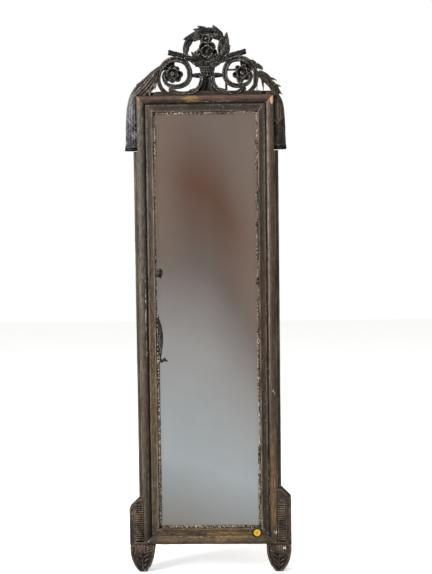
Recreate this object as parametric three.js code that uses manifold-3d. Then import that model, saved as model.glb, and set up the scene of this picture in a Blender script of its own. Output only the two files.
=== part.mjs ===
// A tall, narrow pier mirror in a carved and gilded wood frame, with an openwork crest.
//
// Millimetres. X runs to the right as the mirror is looked at, Z is up, and the front faces -Y.
// The wall plane is y = 0. Everything is placed from the underside of the feet upwards, and the
// finished group is then lowered so that its origin is the middle of the top rail's back.
// "Depth" is always the distance in front of the wall plane.

import * as THREE from "three";
import { mergeVertices } from "three/addons/utils/BufferGeometryUtils.js";
import Module from "manifold-3d";

const wasm = await Module();
wasm.setup();

// ---------------------------------------------------------------- driving dimensions

const GAP = 0.3; // between pieces that touch

// The mitred frame and what it holds.
const SIGHT_WIDTH = 284; // opening between the stiles
const SIGHT_HEIGHT = 1145; // opening between the rails
const RAIL_WIDTH = 43; // face width of a stile or rail
const FRAME_DEPTH = 50; // wall plane to the crown of the moulding
const MOULDING_WIDTH = 21; // raised outer moulding, down to its quirk
const MOULDING_FALL = 7; // from the crown back to the moulding's outer edge
const MOULDING_INNER_FALL = 5; // from the crown back to the edge of the quirk
const MOULDING_INNER_SLOPE = 3; // width of the steep side above the quirk
const QUIRK_WIDTH = 2.5; // dark groove between moulding and band
const QUIRK_DEPTH = 2.5;
const BAND_DEPTH = 41; // wall plane to the flat band's arris
const BAND_HOLLOW = 1.5; // how far the band dips between its arrises
const BAND_ARRIS = 1; // broken edge towards the glass
const REBATE_WIDTH = 9; // lip that covers the edge of the glass
const GLASS_SEAT = 34; // wall plane to the back of that lip
const SLIP_WIDTH = 8.5; // beaded slip at the sight edge
const SLIP_DEPTH = 7.5;
const GLASS_THICKNESS = 4;
const GLASS_EDGE_PLAY = 2; // each side, in the rebate
const BLOCK_LENGTH = 40; // glazing blocks that press the glass on its seat
const BLOCK_WIDTH = 7;
const BLOCK_THICKNESS = 5;
const BLOCKS_PER_STILE = 2;
const BACKBOARD_COUNT = 2;
const BACKBOARD_THICKNESS = 6;
const BATTEN_HEIGHT = 58;
const BATTEN_THICKNESS = 8.5;
const HANGING_BATTEN_DROP = 150; // its middle, below the top of the sight opening

// The applied side strips, ears and feet.
const STRIP_WIDTH = 12;
const STRIP_DEPTH = 33;
const STRIP_COVE = 9; // radius of the hollow along its outer edge
const EAR_WIDTH = 38.5; // beyond the mitred frame
const EAR_DEPTH = 44;
const EAR_CHAMFER = 27;
const LEFT_EAR_HEIGHT = 128; // from the frame's underside to the top of its chamfer
const RIGHT_EAR_HEIGHT = 155;
const EAR_RIM = 12; // plain border outside the fluted panel
const EAR_PANEL_BASE = 6; // from the frame's underside to the panel
const EAR_PANEL_HEIGHT = 104;
const EAR_PANEL_SINK = 7;
const EAR_FLUTES = 18;
const EAR_BEVEL = 1.5;
const FLUTE_DEPTH = 1.8;
const FOOT_HEIGHT = 79.5;
const FOOT_TOP_WIDTH = 69;
const FOOT_TIP_WIDTH = 20;
const FOOT_DEPTH = 38;
const FOOT_BEVEL = 5;

// The crest. Its carving was fixed a little to the right of the frame's middle.
const CREST_SHIFT = 7;
const CREST_RAIL_LENGTH = 344;
const CREST_RAIL_HEIGHT = 12;
const CREST_RAIL_BACK = 6; // depth of its back
const CREST_RAIL_DEPTH = 40;
const CREST_RAIL_SPLAY = 6; // width of its rounded front edge
const CARVING_BACK = 14; // depth of the carving's back
const CARVING_BEVEL = 2;
const SCROLL_CENTRE_X = 88; // from the crest's middle
const SCROLL_CENTRE_Z = 58; // above the frame
const SCROLL_OUTER_RADIUS = 42;
const SCROLL_INNER_RADIUS = 25;
const SCROLL_TURNS = 1.12;
const SCROLL_LEG_X = 110; // where the scroll springs from the crest rail
const SCROLL_BAND_WIDTH = 11;
const SCROLL_BAND_DEPTH = 18;
const SCROLL_START = -15; // degrees, where the leg passes into the curl
const ROSETTE_RADIUS = 24;
const ROSETTE_PETALS = 6;
const ROSETTE_DEPTH = 20;
const ROSETTE_SHIFT = [5, -2]; // its heart, from the scroll's centre
const CROSS_BAR_HEIGHT = 12.5;
const CROSS_BAR_BASE = 48; // above the frame
const CROSS_BAR_DEPTH = 16;
const PEDESTAL_TOP_WIDTH = 38;
const PEDESTAL_BASE_WIDTH = 84;
const PEDESTAL_DEPTH = 22;
const PEDESTAL_LIP = 4; // thickness of its spread base at the ends
const VASE_HEIGHT = 17;
const VASE_RADIUS = 18;
const VASE_RIM_RADIUS = 20.5;
const BRANCH_RADIUS = 6.5;
const BRANCH_END_X = 106;
const BRANCH_END_Z = 114;
const BRANCH_RISE = 24; // from the bouquet out to the tip
const PETAL_BEVEL = 3;
const BLOSSOM_PETALS = 5;
const LARGE_BLOSSOM = { x: 3, z: 113, radius: 25, rise: 8, depth: 22, turned: 0.3 };
const TOP_BLOSSOM = { x: 5, z: 148, radius: 20, rise: 0, depth: 22, turned: 1.1 };
const SIDE_BLOSSOM = { x: -20, z: 107, radius: 15, rise: 0, depth: 20, turned: 0.7 };
// Each sweeping leaf's angle in degrees and its length.
const BOUQUET_LEAVES = [[158, 52], [122, 46], [90, 40], [58, 46], [22, 56]];
const BOUQUET_LEAF_WIDTH = 18;
const BOUQUET_LEAF_THICKNESS = 14;
const WREATH_RADIUS = 47; // centre line of the laurel ring
const WREATH_CENTRE_X = -3;
const WREATH_CENTRE_Z = 117;
const LAUREL_LENGTH = 42;
const LAUREL_WIDTH = 28; // at the crown; the first leaves are narrower
const LAUREL_THICKNESS = 12;
const LAUREL_LEAN = 78; // degrees between a leaf and its spoke of the ring
const LAUREL_RISE = 3; // every second leaf stands this much prouder
// How many leaves each spray has, and the turn of its first and last leaf in degrees.
const LEFT_LAURELS = { count: 6, from: 200, to: 106, firstWidth: 0.55 };
const RIGHT_LAURELS = { count: 4, from: 98, to: 48, firstWidth: 0.95 };
const STANDING_LEAF_X = 46;
const STANDING_LEAF_HEIGHT = 64;
const STANDING_LEAF_WIDTH = 28;
const STANDING_LEAF_TILT = 82; // degrees from level
const BRACE_WIDTH = 22;
const BRACE_THICKNESS = 9;
const BRACE_HEIGHT = 118;
const WIRE_RADIUS = 1.7;
const TIE_RISE = 11; // the level wire, above the scroll's centre

// The garlands that come down over the frame's upper corners. The points are in order from the
// head to the corner: the ones by the scroll are measured from the crest's middle and the ones
// by the corner back from the drop's outer edge, with heights above the frame.
const GARLAND_HEAD = [[115, 84], [116, 92], [134, 82], [152, 60]];
const GARLAND_CORNER = [[42, 35], [27, 21]];
const GARLAND_INNER_EDGE = [[131, 40], [127, 68]];
const GARLAND_INNER_FOOT = 145;
const GARLAND_BACK = 14;
const GARLAND_FRONT = 40;
const DROP_BACK = 4;
const DROP_LENGTH = 95; // frame top to the tassel's knot
const DROP_WIDTH = 33;
const DROP_DEPTH = 40;
const DROP_SHOULDER = 15; // how much narrower the drop is at the frame's top
const DROP_BEVEL = 5;
const TASSEL_LENGTH = 53;
const TASSEL_FLARE = 2; // how much wider its foot is than its knot
const TASSEL_STRANDS = 6;
const STRAND_ROUND = 3; // how far a strand stands out of the groove beside it

// The iron hangers on the back.
const HANGER_SPACING = 190;
const STRAP_WIDTH = 14;
const STRAP_HEIGHT = 36;
const STRAP_THICKNESS = 1.6;
const RING_ROD_RADIUS = 1.5;
const RING_WIDTH = 26; // across the middle of the rod
const RING_DROP = 24; // hinge axis to the middle of the rod at the bottom
const KNUCKLE_PLAY = 0.35;
const KNUCKLE_WALL = 1.3;
const SCREW_RADIUS = 1.6;
const SCREW_HEAD_RADIUS = 3.6;
const SCREW_HEAD_HEIGHT = 1.6;
const SCREW_LENGTH = 8;
const SCREW_SPACING = 17;
const SCREW_MARGIN = 7; // from the strap's top end to the middle of the first screw

// A plain round paper dot on the bottom rail.
const DOT_RADIUS = 9;
const DOT_THICKNESS = 0.5;
const DOT_INSET = 56; // from the frame's right edge

// ---------------------------------------------------------------- places worked out from them

const FRAME_WIDTH = SIGHT_WIDTH + 2 * RAIL_WIDTH;
const FRAME_HEIGHT = SIGHT_HEIGHT + 2 * RAIL_WIDTH;
const FRAME_TOP = FOOT_HEIGHT + FRAME_HEIGHT;
const HALF_FRAME = FRAME_WIDTH / 2;
const SIGHT_BASE = FOOT_HEIGHT + RAIL_WIDTH;
const SIGHT_TOP = SIGHT_BASE + SIGHT_HEIGHT;
const REBATE_BASE = SIGHT_BASE - REBATE_WIDTH;
const REBATE_WIDTH_INSIDE = SIGHT_WIDTH + 2 * REBATE_WIDTH;
const REBATE_HEIGHT_INSIDE = SIGHT_HEIGHT + 2 * REBATE_WIDTH;
const GLASS_FRONT = GLASS_SEAT - GAP;
const GLASS_BACK = GLASS_FRONT - GLASS_THICKNESS;
const BLOCK_BACK = GLASS_BACK - GAP - BLOCK_THICKNESS;
const BACKBOARD_BACK = BLOCK_BACK - GAP - BACKBOARD_THICKNESS;
const BATTEN_BACK = BACKBOARD_BACK - GAP - BATTEN_THICKNESS;
const STRAP_FRONT = BATTEN_BACK - GAP;
const KNUCKLE_RADIUS = RING_ROD_RADIUS + KNUCKLE_PLAY + KNUCKLE_WALL;
const HINGE_DEPTH = STRAP_FRONT - KNUCKLE_RADIUS;
const HANGING_BATTEN_Z = SIGHT_TOP - HANGING_BATTEN_DROP;
const CREST_RAIL_TOP = GAP + CREST_RAIL_HEIGHT; // above the frame, as all crest heights are
const CARVING_MIDDLE = CARVING_BACK + SCROLL_BAND_DEPTH / 2;
const CROSS_BAR_TOP = CROSS_BAR_BASE + CROSS_BAR_HEIGHT;
const VASE_TOP = CROSS_BAR_TOP + GAP + VASE_HEIGHT;
const DOT_X = HALF_FRAME - DOT_INSET;
const HANGING_HEIGHT = FRAME_TOP - RAIL_WIDTH / 2; // the origin, above the feet

// ---------------------------------------------------------------- solids

// A geometry with only its places left, and each shared corner held once.
function shell(geometry) {
  const bare = geometry.clone();
  bare.deleteAttribute("normal");
  bare.deleteAttribute("uv");
  return mergeVertices(bare, 1e-3);
}

// A closed three.js geometry as a manifold-3d solid.
function solidOf(geometry) {
  const merged = shell(geometry);
  const mesh = new wasm.Mesh({
    numProp: 3,
    vertProperties: new Float32Array(merged.attributes.position.array),
    triVerts: new Uint32Array(merged.index.array),
  });
  return new wasm.Manifold(mesh);
}

function geometryOf(solid) {
  const mesh = solid.getMesh();
  const geometry = new THREE.BufferGeometry();
  geometry.setAttribute("position", new THREE.BufferAttribute(new Float32Array(mesh.vertProperties), 3));
  geometry.setIndex(new THREE.BufferAttribute(new Uint32Array(mesh.triVerts), 1));
  return geometry;
}

function joined(...geometries) {
  return geometryOf(geometries.map(solidOf).reduce((all, next) => all.add(next)));
}

function cut(geometry, ...cutters) {
  return geometryOf(cutters.map(solidOf).reduce((rest, cutter) => rest.subtract(cutter), solidOf(geometry)));
}

// The piece with every face moved out by the gap, to cut a neighbour that is fitted to it.
function grown(geometry) {
  const merged = shell(geometry);
  const place = merged.attributes.position;
  const corners = merged.index.array;
  const normals = Array.from({ length: place.count }, () => []);
  const point = (i) => new THREE.Vector3().fromBufferAttribute(place, i);
  for (let i = 0; i < corners.length; i += 3) {
    const [a, b, c] = [point(corners[i]), point(corners[i + 1]), point(corners[i + 2])];
    const normal = b.clone().sub(a).cross(c.clone().sub(a));
    if (normal.lengthSq() === 0) continue;
    normal.normalize();
    for (const corner of [corners[i], corners[i + 1], corners[i + 2]]) normals[corner].push(normal);
  }
  for (let i = 0; i < place.count; i += 1) {
    const out = normals[i].reduce((sum, n) => sum.add(n), new THREE.Vector3()).normalize();
    const least = Math.max(0.4, Math.min(...normals[i].map((n) => n.dot(out))));
    const moved = point(i).addScaledVector(out, GAP / least);
    place.setXYZ(i, moved.x, moved.y, moved.z);
  }
  return merged;
}

// Cuts a piece back to clear each neighbour that it meets.
function fitted(geometry, ...neighbours) {
  return cut(geometry, ...neighbours.map((neighbour) => grown(neighbour)));
}

function mirrored(geometry) {
  const other = shell(geometry).scale(-1, 1, 1);
  const corners = other.index.array;
  for (let i = 0; i < corners.length; i += 3) {
    const second = corners[i + 1];
    corners[i + 1] = corners[i + 2];
    corners[i + 2] = second;
  }
  return other;
}

function outline(points) {
  return new THREE.Shape(points.map(([x, z]) => new THREE.Vector2(x, z)));
}

// A flat shape drawn as seen from the front, from one depth to another.
function plate(shape, back, front, bevel = 0) {
  const options = {
    depth: front - back - bevel,
    bevelEnabled: bevel > 0,
    bevelThickness: bevel,
    bevelSize: bevel,
    bevelOffset: -bevel,
    bevelSegments: 2,
    curveSegments: 8,
  };
  const geometry = new THREE.ExtrudeGeometry(shape, options).rotateX(Math.PI / 2).translate(0, -back, 0);
  if (bevel === 0) return geometry;
  // The extrusion is bevelled on its far side too, and that is sawn off.
  const [reach, thick] = [4 * FRAME_HEIGHT, 100];
  return cut(geometry, new THREE.BoxGeometry(reach, thick, reach).translate(0, thick / 2 - back, 0));
}

// A box by its limits; depths are in front of the wall plane.
function block(left, right, back, front, base, top) {
  return new THREE.BoxGeometry(right - left, front - back, top - base).translate(
    (left + right) / 2,
    -(back + front) / 2,
    (base + top) / 2,
  );
}

function swept(points, section, steps) {
  const path = new THREE.CatmullRomCurve3(points.map(([x, depth, z]) => new THREE.Vector3(x, -depth, z)));
  return new THREE.ExtrudeGeometry(section, { extrudePath: path, steps, bevelEnabled: false });
}

function roundSection(radius, sides = 8) {
  const points = Array.from({ length: sides }, (_, i) => {
    const turn = (2 * Math.PI * i) / sides;
    return [radius * Math.cos(turn), radius * Math.sin(turn)];
  });
  return outline(points);
}

function materialOf(colour, roughness, metalness) {
  return new THREE.MeshStandardMaterial({ color: colour, roughness, metalness });
}

const GILDING = materialOf(0x6b5a41, 0.55, 0.35);
const DARK_GILDING = materialOf(0x4e463a, 0.6, 0.3);
const CREST_FINISH = materialOf(0x3a3833, 0.5, 0.25);
const BARE_PINE = materialOf(0x9c7a52, 0.8, 0);
const GLASS = materialOf(0xc4cace, 0.03, 1);
const IRON = materialOf(0x2c2a28, 0.6, 0.8);
const PAPER = materialOf(0xe8c92e, 0.85, 0);

const mirror = new THREE.Group();

function add(name, geometry, material) {
  const mesh = new THREE.Mesh(geometry, material);
  mesh.name = name;
  mirror.add(mesh);
  return geometry;
}

// ---------------------------------------------------------------- mitred frame

// Half of the gap at each mitre leaves a whole one between two members.
const MITRE_INSET = GAP / 2;

// A section is drawn with x inwards from the frame's outer edge and y forwards from the wall.
// Its extrusion is stretched between two mitres, and the bottom rail is turned to make the rest.
function mitred(section, length) {
  const geometry = new THREE.ExtrudeGeometry(section, { depth: 1, bevelEnabled: false, curveSegments: 5 });
  const place = geometry.attributes.position;
  for (let i = 0; i < place.count; i += 1) {
    const inwards = place.getX(i);
    const along = place.getZ(i) < 0.5 ? inwards + MITRE_INSET : length - inwards - MITRE_INSET;
    place.setXYZ(i, along - length / 2, -place.getY(i), inwards);
  }
  return geometry;
}

function frameSection() {
  const crown = MOULDING_WIDTH * 0.42;
  const shoulder = FRAME_DEPTH - MOULDING_FALL;
  const quirkFloor = BAND_DEPTH - QUIRK_DEPTH;
  const bandStart = MOULDING_WIDTH + QUIRK_WIDTH;
  const section = new THREE.Shape();
  section.moveTo(0, 0);
  section.lineTo(RAIL_WIDTH - REBATE_WIDTH, 0);
  section.lineTo(RAIL_WIDTH - REBATE_WIDTH, GLASS_SEAT);
  section.lineTo(RAIL_WIDTH, GLASS_SEAT);
  section.lineTo(RAIL_WIDTH, BAND_DEPTH - BAND_ARRIS);
  section.lineTo(RAIL_WIDTH - BAND_ARRIS, BAND_DEPTH);
  section.quadraticCurveTo((RAIL_WIDTH + bandStart) / 2, BAND_DEPTH - 2 * BAND_HOLLOW, bandStart, BAND_DEPTH);
  section.lineTo(bandStart, quirkFloor);
  section.lineTo(MOULDING_WIDTH, quirkFloor);
  section.lineTo(MOULDING_WIDTH - MOULDING_INNER_SLOPE, FRAME_DEPTH - MOULDING_INNER_FALL);
  section.quadraticCurveTo(crown * 1.6, FRAME_DEPTH, crown, FRAME_DEPTH);
  section.quadraticCurveTo(crown * 0.1, FRAME_DEPTH, 0, shoulder);
  section.closePath();
  return section;
}

function slipSection() {
  const start = RAIL_WIDTH + GAP;
  const end = start + SLIP_WIDTH;
  const back = GLASS_SEAT;
  const front = back + SLIP_DEPTH;
  const section = new THREE.Shape();
  section.moveTo(start, back);
  section.lineTo(end, back);
  section.lineTo(end, back + SLIP_DEPTH * 0.27);
  section.quadraticCurveTo(end, front, (start + end) / 2, front);
  section.quadraticCurveTo(start, front, start, back + SLIP_DEPTH * 0.4);
  section.closePath();
  return section;
}

function frameMembers([acrossName, uprightName], section, material) {
  const rail = () => mitred(section, FRAME_WIDTH);
  const stile = () => mitred(section, FRAME_HEIGHT);
  const middle = FOOT_HEIGHT + FRAME_HEIGHT / 2;
  add("bottom_" + acrossName, rail().translate(0, 0, FOOT_HEIGHT), material);
  add("top_" + acrossName, rail().rotateY(Math.PI).translate(0, 0, FRAME_TOP), material);
  add("left_" + uprightName, stile().rotateY(Math.PI / 2).translate(-HALF_FRAME, 0, middle), material);
  add("right_" + uprightName, stile().rotateY(-Math.PI / 2).translate(HALF_FRAME, 0, middle), material);
}

frameMembers(["rail", "stile"], frameSection(), GILDING);
frameMembers(["bead_slip", "bead_slip"], slipSection(), DARK_GILDING);

// ---------------------------------------------------------------- glass and back

function glassAndBack() {
  const halfGlass = REBATE_WIDTH_INSIDE / 2 - GLASS_EDGE_PLAY;
  const halfInside = REBATE_WIDTH_INSIDE / 2 - GAP;
  const rebateTop = REBATE_BASE + REBATE_HEIGHT_INSIDE;
  const glassBase = REBATE_BASE + GLASS_EDGE_PLAY;
  const glassTop = rebateTop - GLASS_EDGE_PLAY;
  add("mirror_plate", block(-halfGlass, halfGlass, GLASS_BACK, GLASS_FRONT, glassBase, glassTop), GLASS);

  for (let i = 0; i < BLOCKS_PER_STILE; i += 1) {
    const height = REBATE_BASE + (REBATE_HEIGHT_INSIDE * (i + 0.5)) / BLOCKS_PER_STILE;
    const [base, top] = [height - BLOCK_LENGTH / 2, height + BLOCK_LENGTH / 2];
    const inner = halfInside - BLOCK_WIDTH;
    const [back, front] = [BLOCK_BACK, BLOCK_BACK + BLOCK_THICKNESS];
    add(`left_glazing_block_${i + 1}`, block(-halfInside, -inner, back, front, base, top), BARE_PINE);
    add(`right_glazing_block_${i + 1}`, block(inner, halfInside, back, front, base, top), BARE_PINE);
  }

  const boardHeight = (REBATE_HEIGHT_INSIDE - GAP) / BACKBOARD_COUNT;
  for (let i = 0; i < BACKBOARD_COUNT; i += 1) {
    const base = REBATE_BASE + GAP + i * boardHeight;
    const top = base + boardHeight - GAP;
    const [back, front] = [BACKBOARD_BACK, BACKBOARD_BACK + BACKBOARD_THICKNESS];
    add(`backboard_${i + 1}`, block(-halfInside, halfInside, back, front, base, top), BARE_PINE);
  }
  for (let i = 1; i < BACKBOARD_COUNT; i += 1) {
    const joint = REBATE_BASE + GAP / 2 + i * boardHeight;
    add(`seam_batten_${i}`, batten(joint, halfInside), BARE_PINE);
  }
  const holes = screwPlaces().map(([x, z]) => screwShank(x, z, SCREW_RADIUS + GAP));
  add("hanging_batten", cut(batten(HANGING_BATTEN_Z, halfInside), ...holes), BARE_PINE);
}

function batten(middle, halfInside) {
  const [base, top] = [middle - BATTEN_HEIGHT / 2, middle + BATTEN_HEIGHT / 2];
  return block(-halfInside, halfInside, BATTEN_BACK, BATTEN_BACK + BATTEN_THICKNESS, base, top);
}

// ---------------------------------------------------------------- hangers

const HINGE_Z = HANGING_BATTEN_Z - STRAP_HEIGHT / 2;

function screwPlaces() {
  const places = [];
  for (const side of [-1, 1]) {
    for (const row of [0, 1]) {
      places.push([(side * HANGER_SPACING) / 2, HINGE_Z + STRAP_HEIGHT - SCREW_MARGIN - row * SCREW_SPACING]);
    }
  }
  return places;
}

// A screw's shank runs forwards from the strap into the batten.
function screwShank(x, z, radius) {
  const length = STRAP_THICKNESS + SCREW_LENGTH + 2 * GAP;
  const back = STRAP_FRONT - STRAP_THICKNESS - GAP;
  return new THREE.CylinderGeometry(radius, radius, length, 12).translate(x, -back - length / 2, z);
}

function screwHead(x, z) {
  const back = STRAP_FRONT - STRAP_THICKNESS - GAP - SCREW_HEAD_HEIGHT;
  const head = new THREE.CylinderGeometry(SCREW_HEAD_RADIUS, SCREW_HEAD_RADIUS * 0.7, SCREW_HEAD_HEIGHT, 16);
  return head.rotateX(Math.PI).translate(x, -back - SCREW_HEAD_HEIGHT / 2, z);
}

// A strap is a plate folded round the ring's bar: the fold is a knuckle with a bore.
function strap(x) {
  const [back, front] = [STRAP_FRONT - STRAP_THICKNESS, STRAP_FRONT];
  const sheet = block(x - STRAP_WIDTH / 2, x + STRAP_WIDTH / 2, back, front, HINGE_Z, HINGE_Z + STRAP_HEIGHT);
  const fold = new THREE.CylinderGeometry(KNUCKLE_RADIUS, KNUCKLE_RADIUS, STRAP_WIDTH, 20);
  const boreRadius = RING_ROD_RADIUS + KNUCKLE_PLAY;
  const bore = new THREE.CylinderGeometry(boreRadius, boreRadius, 2 * STRAP_WIDTH, 16);
  const onAxis = (geometry) => geometry.rotateZ(Math.PI / 2).translate(x, -HINGE_DEPTH, HINGE_Z);
  const holes = screwPlaces().map(([screwX, z]) => screwShank(screwX, z, SCREW_RADIUS + GAP));
  return cut(joined(sheet, onAxis(fold)), onAxis(bore), ...holes);
}

// The ring is a bow of round rod closed by a straight bar, which turns in the knuckle.
function ring(x) {
  const half = RING_WIDTH / 2;
  const straight = RING_DROP - half;
  const bow = [[half, 0]];
  for (let i = 0; i <= 8; i += 1) {
    const turn = (Math.PI * i) / 8;
    bow.push([half * Math.cos(turn), -straight - half * Math.sin(turn)]);
  }
  bow.push([-half, 0]);
  const path = bow.map(([across, up]) => [x + across, HINGE_DEPTH, HINGE_Z + up]);
  const barLength = RING_WIDTH + 2 * RING_ROD_RADIUS;
  const bar = new THREE.CylinderGeometry(RING_ROD_RADIUS, RING_ROD_RADIUS, barLength, 8);
  bar.rotateZ(Math.PI / 2).translate(x, -HINGE_DEPTH, HINGE_Z);
  return joined(swept(path, roundSection(RING_ROD_RADIUS), 28), bar);
}

glassAndBack();
for (const [side, sign] of [["left", -1], ["right", 1]]) {
  const x = (sign * HANGER_SPACING) / 2;
  add(side + "_strap", strap(x), IRON);
  add(side + "_ring", ring(x), IRON);
}
screwPlaces().forEach(([x, z], i) => {
  const name = `${i < 2 ? "left" : "right"}_strap_screw_${(i % 2) + 1}`;
  add(name, joined(screwShank(x, z, SCREW_RADIUS), screwHead(x, z)), IRON);
});

// ---------------------------------------------------------------- side strips, ears and feet

function sideStrip(earHeight) {
  const inner = HALF_FRAME + GAP;
  const outer = HALF_FRAME + STRIP_WIDTH;
  const section = new THREE.Shape();
  section.moveTo(inner, 0);
  section.lineTo(outer, 0);
  section.lineTo(outer, STRIP_DEPTH - STRIP_COVE);
  section.quadraticCurveTo(outer - STRIP_COVE, STRIP_DEPTH - STRIP_COVE, outer - STRIP_COVE, STRIP_DEPTH);
  section.lineTo(inner, STRIP_DEPTH);
  section.closePath();
  const base = FOOT_HEIGHT + earHeight + GAP;
  const top = FRAME_TOP - DROP_LENGTH - TASSEL_LENGTH - GAP;
  const length = top - base;
  const strip = new THREE.ExtrudeGeometry(section, { depth: length, bevelEnabled: false, curveSegments: 5 });
  const place = strip.attributes.position;
  for (let i = 0; i < place.count; i += 1) {
    place.setXYZ(i, place.getX(i), -place.getY(i), top - place.getZ(i));
  }
  return strip;
}

function ear(height) {
  const inner = HALF_FRAME + GAP;
  const outer = HALF_FRAME + EAR_WIDTH;
  const base = FOOT_HEIGHT + GAP;
  const top = FOOT_HEIGHT + height;
  const shape = outline([
    [inner, base],
    [outer, base],
    [outer, top - EAR_CHAMFER],
    [outer - EAR_CHAMFER, top],
    [inner, top],
  ]);
  return cut(plate(shape, 0, EAR_DEPTH, EAR_BEVEL), flutedPocket());
}

// The sunk panel's floor is a row of half-round flutes, one above the other.
function flutedPocket() {
  const floor = EAR_DEPTH - EAR_PANEL_SINK;
  const pitch = EAR_PANEL_HEIGHT / EAR_FLUTES;
  const base = FOOT_HEIGHT + EAR_PANEL_BASE;
  const above = EAR_DEPTH + EAR_PANEL_SINK;
  const points = [[0, above]];
  for (let i = 0; i < EAR_FLUTES; i += 1) {
    points.push([i * pitch, floor]);
    points.push([(i + 0.3) * pitch, floor - FLUTE_DEPTH]);
    points.push([(i + 0.7) * pitch, floor - FLUTE_DEPTH]);
  }
  points.push([EAR_PANEL_HEIGHT, floor]);
  points.push([EAR_PANEL_HEIGHT, above]);
  const width = EAR_WIDTH - EAR_RIM;
  const pocket = new THREE.ExtrudeGeometry(outline(points.reverse()), { depth: width, bevelEnabled: false });
  const place = pocket.attributes.position;
  for (let i = 0; i < place.count; i += 1) {
    const across = place.getZ(i) > 0 ? HALF_FRAME + width : HALF_FRAME;
    place.setXYZ(i, across, -place.getY(i), base + place.getX(i));
  }
  return pocket;
}

// A foot is a pendant leaf that narrows in a full curve to a blunt tip.
function foot() {
  const middle = HALF_FRAME + EAR_WIDTH - FOOT_TOP_WIDTH / 2;
  const [wide, narrow] = [FOOT_TOP_WIDTH / 2, FOOT_TIP_WIDTH / 2];
  const shape = new THREE.Shape();
  shape.moveTo(middle - wide, FOOT_HEIGHT);
  shape.bezierCurveTo(
    middle - wide, FOOT_HEIGHT * 0.62,
    middle - wide * 0.72, FOOT_HEIGHT * 0.22,
    middle - narrow, 0,
  );
  shape.lineTo(middle + narrow, 0);
  shape.bezierCurveTo(
    middle + wide * 0.72, FOOT_HEIGHT * 0.22,
    middle + wide, FOOT_HEIGHT * 0.62,
    middle + wide, FOOT_HEIGHT,
  );
  shape.closePath();
  const overlap = block(0, FRAME_WIDTH, -FOOT_DEPTH, 2 * FOOT_DEPTH, FOOT_HEIGHT - 2 * GAP, 2 * FOOT_HEIGHT);
  return cut(plate(shape, 0, FOOT_DEPTH, FOOT_BEVEL), overlap);
}

const EAR_HEIGHTS = { left: LEFT_EAR_HEIGHT, right: RIGHT_EAR_HEIGHT };
for (const side of ["left", "right"]) {
  const sided = (geometry) => (side === "left" ? mirrored(geometry) : geometry);
  add(side + "_side_strip", sided(sideStrip(EAR_HEIGHTS[side])), DARK_GILDING);
  add(side + "_ear", sided(ear(EAR_HEIGHTS[side])), GILDING);
  add(side + "_foot", sided(foot()), GILDING);
}

// ---------------------------------------------------------------- crest

// Crest pieces are drawn from the crest's middle, with heights above the frame's top.
const onCrest = (geometry) => geometry.clone().translate(CREST_SHIFT, 0, FRAME_TOP);
const addCrest = (name, geometry, material = CREST_FINISH) => add(name, onCrest(geometry), material);

function crestRail() {
  const [back, front] = [CREST_RAIL_BACK, CREST_RAIL_DEPTH];
  const section = new THREE.Shape();
  section.moveTo(back, GAP);
  section.lineTo(front, GAP);
  section.lineTo(front, CREST_RAIL_TOP * 0.6);
  section.quadraticCurveTo(front, CREST_RAIL_TOP, front - CREST_RAIL_SPLAY, CREST_RAIL_TOP);
  section.lineTo(back, CREST_RAIL_TOP);
  section.closePath();
  const options = { depth: CREST_RAIL_LENGTH, bevelEnabled: false, curveSegments: 4 };
  const rail = new THREE.ExtrudeGeometry(section, options);
  const place = rail.attributes.position;
  for (let i = 0; i < place.count; i += 1) {
    place.setXYZ(i, CREST_RAIL_LENGTH / 2 - place.getZ(i), -place.getX(i), place.getY(i));
  }
  return rail;
}

// The scroll springs from the rail, goes up its outer side and winds inwards over the top.
function scrollPoint(share) {
  const turn = THREE.MathUtils.degToRad(SCROLL_START + 360 * SCROLL_TURNS * share);
  const radius = SCROLL_OUTER_RADIUS - (SCROLL_OUTER_RADIUS - SCROLL_INNER_RADIUS) * share ** 3;
  return [SCROLL_CENTRE_X + radius * Math.cos(turn), SCROLL_CENTRE_Z + radius * Math.sin(turn)];
}

function scroll() {
  const [shoulderX, shoulderZ] = scrollPoint(0);
  const kneeX = SCROLL_LEG_X + (shoulderX - SCROLL_LEG_X) * 0.6;
  const kneeZ = CREST_RAIL_TOP + (shoulderZ - CREST_RAIL_TOP) * 0.4;
  const path = [
    [SCROLL_LEG_X, CARVING_MIDDLE, CREST_RAIL_TOP - SCROLL_BAND_WIDTH * 0.4],
    [kneeX, CARVING_MIDDLE, kneeZ],
  ];
  for (let i = 0; i <= 14; i += 1) {
    const [x, z] = scrollPoint(i / 14);
    path.push([x, CARVING_MIDDLE, z]);
  }
  const [deep, wide] = [SCROLL_BAND_DEPTH / 2, SCROLL_BAND_WIDTH / 2];
  const section = outline([
    [deep, wide * 0.5],
    [deep * 0.7, wide],
    [-deep, wide],
    [-deep, -wide],
    [deep * 0.7, -wide],
    [deep, -wide * 0.5],
  ]);
  return swept(path, section, 44);
}

// A blossom is a lobed disc, rounded at its edge, with a domed heart.
function blossom(x, z, radius, petals, back, front, turned = 0) {
  const shape = new THREE.Shape();
  const points = 6 * petals;
  for (let i = 0; i < points; i += 1) {
    const turn = (2 * Math.PI * i) / points + turned;
    const reach = radius * (0.86 + 0.14 * Math.cos(petals * (turn - turned)));
    const [across, up] = [x + reach * Math.cos(turn), z + reach * Math.sin(turn)];
    if (i === 0) shape.moveTo(across, up);
    else shape.lineTo(across, up);
  }
  shape.closePath();
  const petalsFront = back + (front - back) * 0.75;
  const heartRadius = radius * 0.38;
  const heart = new THREE.SphereGeometry(heartRadius, 10, 8).translate(x, heartRadius - front, z);
  return joined(plate(shape, back, petalsFront, PETAL_BEVEL), heart);
}

function flower({ x, z, radius, rise, depth, turned }) {
  const back = CARVING_BACK + rise;
  return blossom(x, z, radius, BLOSSOM_PETALS, back, back + depth, turned);
}

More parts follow.
